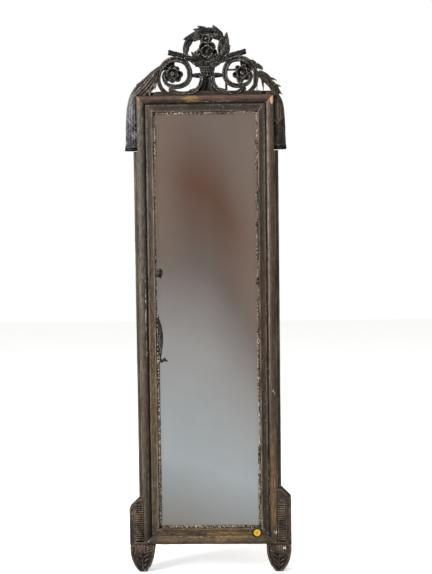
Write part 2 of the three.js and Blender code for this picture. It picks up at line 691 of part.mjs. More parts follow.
function crossBar() {
  const reach = SCROLL_CENTRE_X - SCROLL_OUTER_RADIUS;
  const back = CARVING_MIDDLE - CROSS_BAR_DEPTH / 2;
  return block(-reach, reach, back, back + CROSS_BAR_DEPTH, CROSS_BAR_BASE, CROSS_BAR_TOP);
}

function pedestal() {
  const [top, base] = [PEDESTAL_TOP_WIDTH / 2, PEDESTAL_BASE_WIDTH / 2];
  const [low, high] = [CREST_RAIL_TOP + GAP, CROSS_BAR_BASE - GAP];
  const shape = new THREE.Shape();
  shape.moveTo(-base, low);
  shape.lineTo(base, low);
  shape.lineTo(base, low + PEDESTAL_LIP);
  shape.quadraticCurveTo(top * 1.1, low + 2 * PEDESTAL_LIP, top, high);
  shape.lineTo(-top, high);
  shape.quadraticCurveTo(-top * 1.1, low + 2 * PEDESTAL_LIP, -base, low + PEDESTAL_LIP);
  shape.closePath();
  return plate(shape, CARVING_BACK, CARVING_BACK + PEDESTAL_DEPTH, CARVING_BEVEL);
}

// The vase is turned, then flattened front to back.
function vase() {
  const base = CROSS_BAR_TOP + GAP;
  const points = [
    [0, base],
    [VASE_RADIUS * 0.92, base],
    [VASE_RADIUS, base + VASE_HEIGHT * 0.35],
    [VASE_RADIUS, base + VASE_HEIGHT * 0.7],
    [VASE_RIM_RADIUS, base + VASE_HEIGHT * 0.8],
    [VASE_RIM_RADIUS, VASE_TOP],
    [0, VASE_TOP],
  ];
  const turned = new THREE.LatheGeometry(points.map(([r, z]) => new THREE.Vector2(r, z)), 24);
  const middle = CARVING_BACK + VASE_RADIUS * 0.6;
  return turned.rotateX(Math.PI / 2).scale(1, 0.75, 1).translate(0, -middle, 0);
}

// A leaf is a pointed, swollen blade that starts at a place and grows at an angle.
function leaf(x, z, length, width, thickness, degrees, back) {
  const blade = new THREE.SphereGeometry(0.5, 8, 8).rotateZ(Math.PI / 2);
  const place = blade.attributes.position;
  for (let i = 0; i < place.count; i += 1) {
    const along = 2 * place.getX(i);
    const keep = 1 - 0.35 * Math.max(0, along) ** 2;
    place.setXYZ(i, place.getX(i), place.getY(i) * keep, place.getZ(i) * keep);
  }
  const angle = THREE.MathUtils.degToRad(degrees);
  const [acrossX, acrossZ] = [(length / 2) * Math.cos(angle), (length / 2) * Math.sin(angle)];
  blade.scale(length, thickness, width).rotateY(-angle);
  return blade.translate(x + acrossX, -(back + thickness / 2), z + acrossZ);
}

function bouquetLeaves() {
  const base = VASE_TOP + 3;
  const back = CARVING_BACK + 2;
  const thick = BOUQUET_LEAF_THICKNESS;
  const sweeping = BOUQUET_LEAVES.map(([angle, length]) => {
    return leaf(0, base, length, BOUQUET_LEAF_WIDTH, thick, angle, back);
  });
  const neckHalf = VASE_RIM_RADIUS * 0.68;
  const neckTop = base + BOUQUET_LEAF_WIDTH * 0.67;
  const neck = block(-neckHalf, neckHalf, back, back + thick * 0.86, VASE_TOP + GAP, neckTop);
  return joined(neck, ...sweeping);
}

function branch() {
  const share = [[0.19, 1], [0.42, 0.625], [0.71, 0.25], [1, 0]];
  const path = share.map(([out, below]) => {
    return [BRANCH_END_X * out, CARVING_MIDDLE, BRANCH_END_Z - BRANCH_RISE * below];
  });
  return swept(path, roundSection(BRANCH_RADIUS), 10);
}

// Laurel leaves follow one another round the wreath, each lying over the last.
function laurels({ count, from, to, firstWidth }) {
  const leaves = [];
  for (let i = 0; i < count; i += 1) {
    const at = from + ((to - from) * i) / (count - 1);
    const turn = THREE.MathUtils.degToRad(at);
    const x = WREATH_CENTRE_X + WREATH_RADIUS * Math.cos(turn);
    const z = WREATH_CENTRE_Z + WREATH_RADIUS * Math.sin(turn);
    const back = CARVING_BACK + 2 + (i % 2) * LAUREL_RISE;
    const width = LAUREL_WIDTH * (firstWidth + (1 - firstWidth) * (i / (count - 1)));
    leaves.push(leaf(x, z, LAUREL_LENGTH, width, LAUREL_THICKNESS, at - LAUREL_LEAN, back));
  }
  return joined(...leaves);
}

const rail = crestRail();
const rightScroll = fitted(scroll(), rail);
const leftScroll = mirrored(rightScroll);
const rosetteX = SCROLL_CENTRE_X + ROSETTE_SHIFT[0];
const rosetteZ = SCROLL_CENTRE_Z + ROSETTE_SHIFT[1];
const rosetteFront = CARVING_BACK + ROSETTE_DEPTH;
const rosette = fitted(
  blossom(rosetteX, rosetteZ, ROSETTE_RADIUS, ROSETTE_PETALS, CARVING_BACK, rosetteFront),
  rightScroll,
);
const bar = fitted(crossBar(), leftScroll, rightScroll);
const braceFront = CARVING_BACK - GAP;
const braceFoot = CREST_RAIL_TOP + GAP;
const brace = block(
  -BRACE_WIDTH / 2,
  BRACE_WIDTH / 2,
  braceFront - BRACE_THICKNESS,
  braceFront,
  braceFoot,
  braceFoot + BRACE_HEIGHT,
);
const vaseBody = fitted(vase(), brace);
const leaves = fitted(bouquetLeaves(), vaseBody);
const largeBlossom = fitted(flower(LARGE_BLOSSOM), leaves);
const leftBranch = fitted(mirrored(branch()), leftScroll, leaves, largeBlossom);
const rightBranch = fitted(branch(), rightScroll, leaves, largeBlossom);
const topBlossom = fitted(flower(TOP_BLOSSOM), leaves, largeBlossom, brace);
const sideBlossom = fitted(flower(SIDE_BLOSSOM), leaves, largeBlossom, leftBranch, brace);
const leftWreath = fitted(laurels(LEFT_LAURELS), leftBranch, topBlossom, sideBlossom, leaves);
const rightWreath = fitted(laurels(RIGHT_LAURELS), leftWreath, topBlossom, leaves);
const standingBlade = leaf(
  STANDING_LEAF_X,
  BRANCH_END_Z - BRANCH_RADIUS - 1.5,
  STANDING_LEAF_HEIGHT,
  STANDING_LEAF_WIDTH,
  LAUREL_THICKNESS,
  STANDING_LEAF_TILT,
  CARVING_BACK + 3,
);
const standingLeaf = fitted(standingBlade, rightBranch, rightWreath);

addCrest("left_scroll", leftScroll);
addCrest("right_scroll", rightScroll);
addCrest("left_rosette", mirrored(rosette));
addCrest("right_rosette", rosette);
addCrest("cross_bar", bar);
addCrest("pedestal", pedestal());
addCrest("vase", vaseBody);
addCrest("crest_brace", brace, BARE_PINE);
addCrest("bouquet_leaves", leaves);
addCrest("large_blossom", largeBlossom);
addCrest("top_blossom", topBlossom);
addCrest("side_blossom", sideBlossom);
addCrest("left_branch", leftBranch);
addCrest("right_branch", rightBranch);
addCrest("left_wreath", leftWreath);
addCrest("right_wreath", rightWreath);
addCrest("standing_leaf", standingLeaf);

// ---------------------------------------------------------------- garlands

// The upper stretch slopes from the scroll's shoulder to the frame's corner. Its upper end
// follows the crest, which is shifted, and its lower end follows the frame.
function garland(shift, scrolled) {
  const edge = HALF_FRAME + DROP_WIDTH;
  const shape = new THREE.Shape();
  GARLAND_HEAD.forEach(([x, z], i) => (i === 0 ? shape.moveTo(x + shift, z) : shape.lineTo(x + shift, z)));
  GARLAND_CORNER.forEach(([x, z]) => shape.lineTo(edge - x, z));
  shape.quadraticCurveTo(edge - DROP_SHOULDER * 1.27, DROP_SHOULDER * 0.8, edge - DROP_SHOULDER, GAP);
  shape.lineTo(GARLAND_INNER_FOOT + shift, GAP);
  GARLAND_INNER_EDGE.forEach(([x, z]) => shape.lineTo(x + shift, z));
  shape.closePath();
  return fitted(plate(shape, GARLAND_BACK, GARLAND_FRONT, CARVING_BEVEL), scrolled);
}

// Below the corner the garland hangs beside the stile, and swells as it comes down.
function garlandDrop() {
  const inner = HALF_FRAME + GAP;
  const edge = HALF_FRAME + DROP_WIDTH;
  const shape = new THREE.Shape();
  shape.moveTo(inner, 0);
  shape.lineTo(inner, -DROP_LENGTH);
  shape.lineTo(edge, -DROP_LENGTH);
  shape.quadraticCurveTo(edge - DROP_SHOULDER * 0.2, -DROP_LENGTH * 0.3, edge - DROP_SHOULDER, 0);
  shape.closePath();
  return plate(shape, DROP_BACK, DROP_DEPTH, DROP_BEVEL);
}

// The tassel's front is a row of rounded strands that spread a little towards the foot.
function tassel() {
  const inner = HALF_FRAME + GAP;
  const width = DROP_WIDTH - GAP;
  const strand = width / TASSEL_STRANDS;
  const points = [[0, DROP_BACK]];
  for (let i = 0; i < TASSEL_STRANDS; i += 1) {
    points.push([i * strand, DROP_DEPTH - STRAND_ROUND]);
    points.push([(i + 0.3) * strand, DROP_DEPTH]);
    points.push([(i + 0.7) * strand, DROP_DEPTH]);
  }
  points.push([width, DROP_DEPTH - STRAND_ROUND]);
  points.push([width, DROP_BACK]);
  const options = { depth: TASSEL_LENGTH, bevelEnabled: false };
  const bundle = new THREE.ExtrudeGeometry(outline(points), options);
  const place = bundle.attributes.position;
  for (let i = 0; i < place.count; i += 1) {
    const down = place.getZ(i);
    const spread = 1 + (TASSEL_FLARE / width) * (down / TASSEL_LENGTH);
    place.setXYZ(i, inner + place.getX(i) * spread, -place.getY(i), -DROP_LENGTH - GAP - down);
  }
  return bundle;
}

const onFrame = (geometry) => geometry.clone().translate(0, 0, FRAME_TOP);
const shifted = (geometry) => geometry.clone().translate(CREST_SHIFT, 0, 0);
const garlands = [["left", -1, leftScroll], ["right", 1, rightScroll]].map(([side, sign, scrolled]) => {
  const sided = (geometry) => (sign < 0 ? mirrored(geometry) : geometry);
  const upper = sided(garland(sign * CREST_SHIFT, sided(shifted(scrolled))));
  add(side + "_garland", onFrame(upper), CREST_FINISH);
  add(side + "_drop", onFrame(sided(garlandDrop())), CREST_FINISH);
  add(side + "_tassel", onFrame(sided(tassel())), CREST_FINISH);
  return upper;
});

// The garlands are let into the front of the crest rail.
add("crest_rail", onFrame(fitted(shifted(rail), ...garlands)), DARK_GILDING);

// ---------------------------------------------------------------- iron stays

// One stay props the right scroll off the crest rail, and one ties it to its rosette.
function stay(from, to) {
  const [start, end] = [from, to].map(([x, z]) => [x, CARVING_MIDDLE, z]);
  return swept([start, end], roundSection(WIRE_RADIUS), 2);
}

const scrollSide = SCROLL_CENTRE_X - SCROLL_OUTER_RADIUS;
const propX = scrollSide + SCROLL_BAND_WIDTH * 0.45;
const propTop = SCROLL_CENTRE_Z - SCROLL_OUTER_RADIUS * 0.4;
const tieZ = SCROLL_CENTRE_Z + TIE_RISE;
const prop = stay([propX, CREST_RAIL_TOP - WIRE_RADIUS], [propX, propTop]);
const tie = stay([scrollSide, tieZ], [rosetteX, tieZ]);
addCrest("crest_stay", fitted(prop, rail, rightScroll), IRON);
addCrest("rosette_stay", fitted(tie, rightScroll, rosette), IRON);

// ---------------------------------------------------------------- paper dot

// It lies flat across the band, clear of the quirk.
const dotZ = FOOT_HEIGHT + MOULDING_WIDTH + QUIRK_WIDTH / 2 + DOT_RADIUS;
const dot = new THREE.CylinderGeometry(DOT_RADIUS, DOT_RADIUS, DOT_THICKNESS, 32);
add("paper_dot", dot.translate(DOT_X, -(BAND_DEPTH + GAP + DOT_THICKNESS / 2), dotZ), PAPER);

mirror.position.z = -HANGING_HEIGHT;

export default mirror;
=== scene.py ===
"""A tall pier mirror: the carving and finishes of its worn, gilded wood frame.

Pieces are modelled in millimetres, lying on their backs on a bench: X runs to the right, Y up the
mirror and Z out of the wall. hang() stands each one up in the frame, in metres.
"""

from math import atan2, cos, degrees, pi, radians, sin
import random
from contextlib import contextmanager

import bmesh
import bpy
from mathutils import Matrix, Vector


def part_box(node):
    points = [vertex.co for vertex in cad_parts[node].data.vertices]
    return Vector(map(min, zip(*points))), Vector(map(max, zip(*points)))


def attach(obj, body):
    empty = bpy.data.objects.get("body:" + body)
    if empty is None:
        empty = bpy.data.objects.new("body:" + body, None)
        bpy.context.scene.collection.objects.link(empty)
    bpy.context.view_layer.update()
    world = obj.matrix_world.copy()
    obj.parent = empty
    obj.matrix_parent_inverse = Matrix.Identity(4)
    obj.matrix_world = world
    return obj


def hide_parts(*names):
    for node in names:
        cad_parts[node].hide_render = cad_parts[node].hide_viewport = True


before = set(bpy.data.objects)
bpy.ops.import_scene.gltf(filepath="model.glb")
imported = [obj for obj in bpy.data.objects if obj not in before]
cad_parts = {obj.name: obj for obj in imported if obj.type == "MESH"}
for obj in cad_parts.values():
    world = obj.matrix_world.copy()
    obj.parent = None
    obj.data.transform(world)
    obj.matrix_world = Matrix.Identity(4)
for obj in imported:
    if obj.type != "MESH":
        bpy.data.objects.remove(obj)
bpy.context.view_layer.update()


# ---- places, from the frame

def bench_box(node):
    low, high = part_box(node)
    return Vector((low.x, low.z, -high.y)) * 1000, Vector((high.x, high.z, -low.y)) * 1000


FRAME_TOP = bench_box("top_rail")[1].y
FRAME_BASE = bench_box("bottom_rail")[0].y
FLOOR = bench_box("left_foot")[0].y
OUTER_LEFT = bench_box("left_stile")[0].x
OUTER_RIGHT = bench_box("right_stile")[1].x
SIGHT_LEFT = bench_box("left_bead_slip")[0].x
SIGHT_RIGHT = bench_box("right_bead_slip")[1].x
SIGHT_BASE = bench_box("bottom_bead_slip")[0].y
SIGHT_TOP = bench_box("top_bead_slip")[1].y
GLASS_FRONT = bench_box("mirror_plate")[1].z
CREST_X = sum(corner.x for corner in bench_box("vase")) / 2
CREST = Vector((CREST_X, FRAME_TOP, 0))  # the crest's middle, on top of the frame
BACK = bench_box("left_scroll")[0].z
FRONT = bench_box("left_scroll")[1].z
CORE = (BACK + FRONT) / 2


# ---- bench tools

def alone(piece):
    bpy.ops.object.select_all(action="DESELECT")
    piece.select_set(True)
    bpy.context.view_layer.objects.active = piece
    return piece


def begun(add, **settings):
    """A primitive, with its place and turn put into its mesh."""
    bpy.ops.object.select_all(action="DESELECT")
    add(**settings)
    bpy.ops.object.transform_apply(location=True, rotation=True, scale=True)
    return bpy.context.object


@contextmanager
def editing(piece, whole=False):
    """Edit mode on one piece, all of it selected where that is asked for."""
    alone(piece)
    bpy.ops.object.mode_set(mode="EDIT")
    bpy.ops.mesh.select_mode(type="VERT")
    if whole:
        bpy.ops.mesh.select_all(action="SELECT")
    yield
    bpy.ops.object.mode_set(mode="OBJECT")


def pick(piece, test):
    """Selects, in edit mode, the points whose place passes a test."""
    bpy.ops.mesh.select_all(action="DESELECT")
    mesh = bmesh.from_edit_mesh(piece.data)
    for vertex in mesh.verts:
        vertex.select = test(vertex.co)
    mesh.select_flush(True)
    bmesh.update_edit_mesh(piece.data)


def push(x, y, z):
    bpy.ops.transform.translate(value=(x, y, z))


def scale(shares, centre):
    bpy.ops.transform.resize(value=shares, center_override=centre)


def modified(piece, kind, **settings):
    alone(piece)
    modifier = piece.modifiers.new(kind.lower(), kind)
    for name, value in settings.items():
        setattr(modifier, name, value)
    bpy.ops.object.modifier_apply(modifier=modifier.name)
    return piece


def copied(piece, matrix=Matrix.Identity(4)):
    copy = piece.copy()
    copy.data = piece.data.copy()
    bpy.context.scene.collection.objects.link(copy)
    copy.data.transform(matrix)
    return copy


def discarded(*pieces):
    for piece in pieces:
        bpy.data.objects.remove(piece)


def linked(name, data):
    piece = bpy.data.objects.new(name, data)
    bpy.context.scene.collection.objects.link(piece)
    return piece


def moved(piece, x, y, z):
    piece.data.transform(Matrix.Translation((x, y, z)))
    return piece


def spun(turn, axis):
    return Matrix.Rotation(radians(turn), 4, axis)


def placed(blank, x, y, z=0, turn=0, tilt=0, roll=0, size=1.0):
    """A copy of a blank: rolled about its length, tipped up, turned on the bench and moved."""
    matrix = spun(turn, "Z") @ spun(-tilt, "Y") @ spun(roll, "X") @ Matrix.Scale(size, 4)
    return copied(blank, Matrix.Translation((x, y, z)) @ matrix)


def sown(blank, rows, z, size=1.0):
    """Copies of a blank at rows of x, y and turn, all at one depth."""
    return [placed(blank, x, y, z, turn=turn, size=size) for x, y, turn in rows]


def upright(side, piece):
    """The right-hand piece as it is, or turned into the left-hand one, its faces outwards again."""
    if side > 0:
        return piece
    copy = copied(piece, Matrix.Scale(-1, 4, (1, 0, 0)))
    with editing(copy, whole=True):
        bpy.ops.mesh.flip_normals()
    discarded(piece)
    return copy


def gathered(parts):
    bpy.ops.object.select_all(action="DESELECT")
    for part in parts:
        part.select_set(True)
    bpy.context.view_layer.objects.active = parts[0]
    if len(parts) > 1:
        bpy.ops.object.join()
    return parts[0]


def carved(parts, voxel=1.0):
    """Parts that were cut from one block: fused, with the tool's edges rounded a little."""
    whole = gathered(parts)
    modified(whole, "REMESH", mode="VOXEL", voxel_size=voxel, use_smooth_shade=True)
    return modified(whole, "SMOOTH", factor=0.5, iterations=1)


def uneven(piece, grain, height, seed=0):
    """Dents and swellings of a hand-worked surface."""
    texture = bpy.data.textures.new("unevenness", "CLOUDS")
    texture.noise_scale = grain
    texture.noise_depth = 2
    with_offset = Matrix.Translation((seed * 37.0, seed * 11.0, 0))
    piece.data.transform(with_offset)
    modified(piece, "DISPLACE", texture=texture, strength=height, mid_level=0.5, texture_coords="LOCAL")
    piece.data.transform(with_offset.inverted())
    return piece


def curve_piece(points, closed=False, handles="AUTO"):
    """A curve through points of x, y, z and a share of the full thickness."""
    curve = bpy.data.curves.new("drawn", "CURVE")
    curve.dimensions = "3D"
    curve.resolution_u = 6
    curve.use_fill_caps = True
    spline = curve.splines.new("BEZIER")
    spline.bezier_points.add(len(points) - 1)
    spline.use_cyclic_u = closed
    for knot, (x, y, z, share) in zip(spline.bezier_points, points):
        knot.co = (x, y, z)
        knot.handle_left_type = knot.handle_right_type = handles
        knot.radius = share
    return linked("drawn", curve)


def meshed(piece):
    alone(piece)
    bpy.ops.object.convert(target="MESH")
    with editing(piece, whole=True):
        bpy.ops.mesh.remove_doubles(threshold=0.001)
        bpy.ops.mesh.normals_make_consistent(inside=False)
    return piece


def rod(points, radius, closed=False, handles="AUTO"):
    """A round bar through points of x, y, z and a share of the full thickness."""
    piece = curve_piece(points, closed, handles)
    piece.data.bevel_depth = radius
    piece.data.bevel_resolution = 3
    return meshed(piece)


def straight_rod(points, radius):
    """A rod with sharp corners and one thickness."""
    return rod([(x, y, z, 1) for x, y, z in points], radius, handles="VECTOR")


def sides_of(points):
    """The two edges of a band whose middle line is x, y and width, as lists of places."""
    left, right = [], []
    for i, (x, y, width) in enumerate(points):
        before, after = points[max(i - 1, 0)], points[min(i + 1, len(points) - 1)]
        way = Vector((after[0] - before[0], after[1] - before[1])).normalized()
        left.append((x - way.y * width / 2, y + way.x * width / 2))
        right.append((x + way.y * width / 2, y - way.x * width / 2))
    return left, right


RIM_SHARE = 0.17  # of a band's width
BAND_ROUNDING = 0.8
RIM_DEPTH = 2.6  # from a band's face to the middle of its rims


def band(points, back, front):
    """A flat band along x, y and width, with a rounded rim along each edge of its face."""
    left, right = sides_of(points)
    piece = curve_piece([(x, y, 0, 1) for x, y in left + right[::-1]], closed=True)
    piece.data.dimensions = "2D"
    piece.data.fill_mode = "BOTH"
    piece.data.extrude = (front - back) / 2 - 1.5
    piece.data.bevel_depth = BAND_ROUNDING
    for end in (0, len(left) - 1, len(left), len(left) + len(right) - 1):
        corner = piece.data.splines[0].bezier_points[end]
        corner.handle_left_type = corner.handle_right_type = "VECTOR"
    meshed(piece)
    moved(piece, 0, 0, (front + back) / 2 - 1.5)
    parts = [piece]
    for edge in sides_of([(x, y, width * (1 - 2 * RIM_SHARE)) for x, y, width in points]):
        widths = [width for _, _, width in points]
        line = [(x, y, front - RIM_DEPTH, width * RIM_SHARE) for (x, y), width in zip(edge, widths)]
        parts.append(rod(line, 1.0))
    return parts


def leaf_outline(along):
    """Narrow at the stalk, full below the middle, and pointed."""
    return min(1.0, 0.35 + 2.2 * along) * (1 - along ** 2.6) ** 0.75


def petal_outline(along):
    """Broad and round at the tip."""
    return min(1.0, 0.3 + 1.3 * along) * (1 - along ** 6) ** 0.5


def toothed_outline(along):
    return leaf_outline(along) * (1.0 if int(along * 12) % 3 else 0.78)


def blade(length, width, thick, outline=leaf_outline, crown=0.2, vein=0.05, curl=0.0, sway=0.0):
    """A leaf or petal that grows along X from the origin, its back on the bench."""
    steps, rows = 12, 6
    cells = {"x_subdivisions": steps, "y_subdivisions": rows}
    piece = begun(bpy.ops.mesh.primitive_grid_add, size=1, location=(0.5, 0, 0), **cells)
    with editing(piece, whole=True):
        scale((length, width, 1), (0, 0, 0))
        for row in range(rows + 1):
            share = 2 * row / rows - 1
            rise = crown * width * (1 - share ** 2) - (vein * width if share == 0 else 0)
            pick(piece, lambda co: abs(co.y - share * width / 2) < width / 100)
            push(0, 0, rise)
        for step in range(steps + 1):
            along = step / steps
            keep = max(outline(along), 0.03)
            middle = (along * length, 0, 0)
            pick(piece, lambda co: abs(co.x - along * length) < length / 100)
            scale((1, keep, keep), middle)
            push(0, sway * sin(pi * along), curl * along ** 2)
    modified(piece, "SOLIDIFY", thickness=thick, offset=-1)
    return modified(piece, "SUBSURF", levels=1, render_levels=1)


def ball(x, y, z, radius, flat=1.0):
    """A pip or boss: a quad sphere pressed flat."""
    piece = begun(bpy.ops.mesh.primitive_cube_add, size=radius * 1.6, location=(x, y, z))
    modified(piece, "SUBSURF", levels=2, render_levels=2)
    with editing(piece, whole=True):
        scale((1, 1, flat), (x, y, z))
    return piece


HANG = Matrix.Rotation(radians(90), 4, "X") @ Matrix.Scale(0.001, 4)


def hang(piece, name, material, slot, *nodes, body="mirror_body", smooth=50):
    """Names a finished piece, stands it up in the frame, in metres, gives it its material, hangs it on
    its body and hides the CAD nodes it stands for.
    """
    piece.name = name
    piece.data.transform(HANG)
    piece.data.materials.clear()
    piece.data.materials.append(material)
    alone(piece)
    bpy.ops.object.shade_smooth_by_angle(angle=radians(smooth))
    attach(piece, body)
    if nodes:
        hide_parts(*nodes)


# ---- shader maths

class Value:
    """A socket that grows Math nodes when it is used in an expression."""

    def __init__(self, paint, socket):
        self.paint = paint
        self.socket = socket

    def maths(self, operation, *values):
        return self.paint.node("Math", dict(enumerate(values)), operation=operation)

    def __add__(self, other):
        return self.maths("ADD", self, other)

    def __sub__(self, other):
        return self.maths("SUBTRACT", self, other)

    def __rsub__(self, other):
        return self.maths("SUBTRACT", other, self)

    def __mul__(self, other):
        return self.maths("MULTIPLY", self, other)

    __radd__ = __add__
    __rmul__ = __mul__

    def step(self, low, high):
        """Rises smoothly from 0 to 1 between two values, or falls if they are the other way round."""
        sockets = {"Value": self, "From Min": low, "From Max": high}
        return self.paint.node("MapRange", sockets, interpolation_type="SMOOTHSTEP")


BUMP_STRENGTH = 0.6


class Paint:
    """A material or world under construction."""

    def __init__(self, owner):
        owner.use_nodes = True
        self.owner = owner
        self.tree = owner.node_tree
        self.tree.nodes.clear()

    def node(self, kind, sockets=None, out=0, **settings):
        made = self.tree.nodes.new("ShaderNode" + kind)
        for name, value in settings.items():
            if name == "stops":
                self.set_stops(made.color_ramp, value)
            else:
                setattr(made, name, value)
        for name, value in (sockets or {}).items():
            self.feed(made.inputs[name], value)
        return Value(self, made.outputs[out]) if made.outputs else None

    def feed(self, socket, value):
        if isinstance(value, Value):
            self.tree.links.new(value.socket, socket)
        else:
            socket.default_value = value

    def set_stops(self, ramp, stops):
        while len(ramp.elements) < len(stops):
            ramp.elements.new(0.5)
        for element, (position, colour) in zip(ramp.elements, stops):
            element.position = position
            element.color = colour

    def mix(self, factor, first, second):
        return self.node("Mix", {0: factor, 6: first, 7: second}, out=2, data_type="RGBA")

    def place(self):
        return self.node("TexCoord", out="Object")

    def vector(self, operation, *values, out=0):
        return self.node("VectorMath", dict(enumerate(values)), out, operation=operation)

    def noise(self, place, scale, detail):
        sockets = {"Vector": place, "Scale": scale, "Detail": detail, "Roughness": 0.6}
        return self.node("TexNoise", sockets)

    def spot(self, place, centre, reach):
        """A soft patch: 1 at its centre, 0 past its reach along each axis."""
        away = self.vector("SUBTRACT", place, centre)
        away = self.vector("DIVIDE", away, reach)
        return self.vector("LENGTH", away, out="Value").step(1.0, 0.2)

    def surface(self, tone, roughness, metallic=0.0, bump=None, bump_height=0.0006, **more):
        sockets = {"Base Color": tone, "Roughness": roughness, "Metallic": metallic, **more}
        if bump is not None:
            relief = {"Height": bump, "Distance": bump_height, "Strength": BUMP_STRENGTH}
            sockets["Normal"] = self.node("Bump", relief)
        shader = self.node("BsdfPrincipled", sockets)
        self.node("OutputMaterial", {"Surface": shader})
        return self.owner


def colour(red, green, blue):
    """A colour from its screen values, 0 to 255."""
    def linear(value):
        value /= 255
        return value / 12.92 if value <= 0.04045 else ((value + 0.055) / 1.055) ** 2.4
    return (linear(red), linear(green), linear(blue), 1.0)


# ---- finishes

def new_finish(name):
    """A new material, and places on the piece that wears it."""
    paint = Paint(bpy.data.materials.new(name))
    return paint, paint.place()


GESSO = colour(205, 190, 172)
PINK_GESSO = colour(168, 128, 108)
OCHRE = colour(122, 96, 44)
RAW_WOOD = colour(188, 142, 112)
SANDED = colour(142, 118, 84)


def patina(name, ground, second, rubbed, dark, stretch=(1, 1, 1), flakes=0.74, gloss=0.5,
           metal=0.25, shine=0.5, wear=1.0, sparse=0.52, tints_and_painted_light=(), golden=(), dotted=(), gesso=(),
           raw=(), painted_shade_and_dark_rims=()):
    """Old water gilding under bronze paint and dirt: patchy, rubbed on its ridges, dark in its
    hollows, and flaked to the gesso in specks. A few of its tint spots are painted highlight and
    painted shade, and its darkened spots are painted shade on the tassels' hems and a dark rim
    round the paper dot. The last six take what spots() gives."""
    ground, second, rubbed, dark = (colour(*tone) for tone in (ground, second, rubbed, dark))
    paint, place = new_finish(name)
    long = paint.vector("MULTIPLY", place, stretch)
    patches = paint.noise(long, 14, 4)
    blotches = paint.noise(long, 55, 4)
    grain = paint.noise(long, 260, 3)
    specks = paint.noise(place, 420, 2)
    bend = paint.node("NewGeometry", out="Pointiness")
    ridge = bend.step(0.508, 0.56) * wear
    hollow = bend.step(0.497, 0.44)
    tone = paint.mix(patches.step(0.4, 0.62), ground, second)
    tone = paint.mix(blotches.step(0.5, 0.72) * 0.55, tone, rubbed)
    # Tint spots: mostly the finish's own colours, but on the right stile one is a painted highlight
    # down the inner slope and one a brown made darker as painted shade, and on the ears they are
    # painted shade.
    for centre, reach, tint in tints_and_painted_light:
        tone = paint.mix(paint.spot(place, centre, reach) * 0.8, tone, tint)
    tone = paint.mix(grain.step(0.6, 0.4) * 0.6, tone, dark)
    for centre, reach in golden:
        tone = paint.mix(paint.spot(place, centre, reach) * grain.step(0.3, 0.6), tone, OCHRE)
    tone = paint.mix(ridge * blotches.step(0.35, 0.6), tone, rubbed)
    tone = paint.mix(hollow * 0.85, tone, dark)
    chips = specks.step(flakes, flakes + 0.04) * patches.step(0.42, 0.56)
    chips = chips + specks.step(flakes - 0.1, flakes - 0.05) * ridge
    for centre, reach in gesso:
        chips = chips + paint.spot(place, centre, reach) * grain.step(sparse, sparse + 0.04)
    for centre, reach in dotted:
        tone = paint.mix(paint.spot(place, centre, reach) * grain.step(0.5, 0.6) * 0.8, tone, SANDED)
    tone = paint.mix(chips, tone, GESSO)
    for centre, reach in raw:
        tone = paint.mix(paint.spot(place, centre, reach).step(0.35, 0.55), tone, RAW_WOOD)
    # Darkened spots: painted shade across the tassels' hems, and a dark rim round the paper dot.
    for centre, reach in painted_shade_and_dark_rims:
        tone = paint.mix(paint.spot(place, centre, reach).step(0.0, 0.5), tone, dark)
    rough = gloss + grain * 0.25 + chips * 0.2
    relief = grain * 0.6 + specks * 0.3 - chips * 0.8
    level = {"Specular IOR Level": shine}
    return paint.surface(tone, rough, metal, relief, bump_height=0.0007, **level)


def metres(x, y, z):
    """A place on the bench as a place in the finished frame."""
    return (x / 1000, -z / 1000, y / 1000)


def spots(rows):
    """Soft patches of a finish: place on the bench, reach along the finished frame's X, Y and Z,
    all in millimetres, and a tint where there is one. A few tints are painted highlight and painted
    shade."""
    return [
        (metres(*row[:3]), [reach / 1000 for reach in row[3:6]], *(colour(*tint) for tint in row[6:]))
        for row in rows
    ]


FRAME_GOLD = spots([
    (-35, FRAME_TOP - 9, 50, 30, 30, 14),
    (38, FRAME_BASE + 27, 42, 60, 30, 11),
    (95, FRAME_BASE + 25, 42, 40, 30, 8),
])
FRAME_CHIPS = spots([
    (OUTER_RIGHT - 4, FRAME_BASE + 37, 46, 9, 20, 10),
    (OUTER_LEFT + 14, FRAME_BASE + 9, 46, 4, 20, 4),
    (OUTER_RIGHT - 8, -788, 48, 6, 20, 10), (OUTER_LEFT + 16, -676, 48, 4, 20, 12),
    (SIGHT_LEFT - 26, -412, 46, 3.5, 20, 4), (SIGHT_LEFT - 27, -560, 46, 1.8, 20, 140),
])
TOP_DOTS = spots([(20, FRAME_TOP - 17.5, 47, 130, 20, 2.2), (-60, FRAME_TOP - 7, 50, 50, 20, 1.5)])
BOTTOM_DOTS = spots([
    (-10, FRAME_BASE + 20.5, 44, 160, 20, 2.4), (60, FRAME_BASE + 1.5, 44, 120, 20, 1.8),
])
STILE_DOTS = spots([
    (OUTER_LEFT + 16, -1000, 48, 1.4, 20, 120),
    (OUTER_RIGHT - 6, -1080, 48, 3, 20, 100), (SIGHT_RIGHT + 22, -1040, 42, 2, 20, 150),
])
DOT_MIDDLE = sum(bench_box("paper_dot"), Vector()) / 2
ROUND_THE_DOT = spots([(*DOT_MIDDLE, 19, 20, 19)])
BARE_CORNER = spots([(OUTER_RIGHT - 5, FRAME_TOP - 14, 46, 7, 30, 20)])

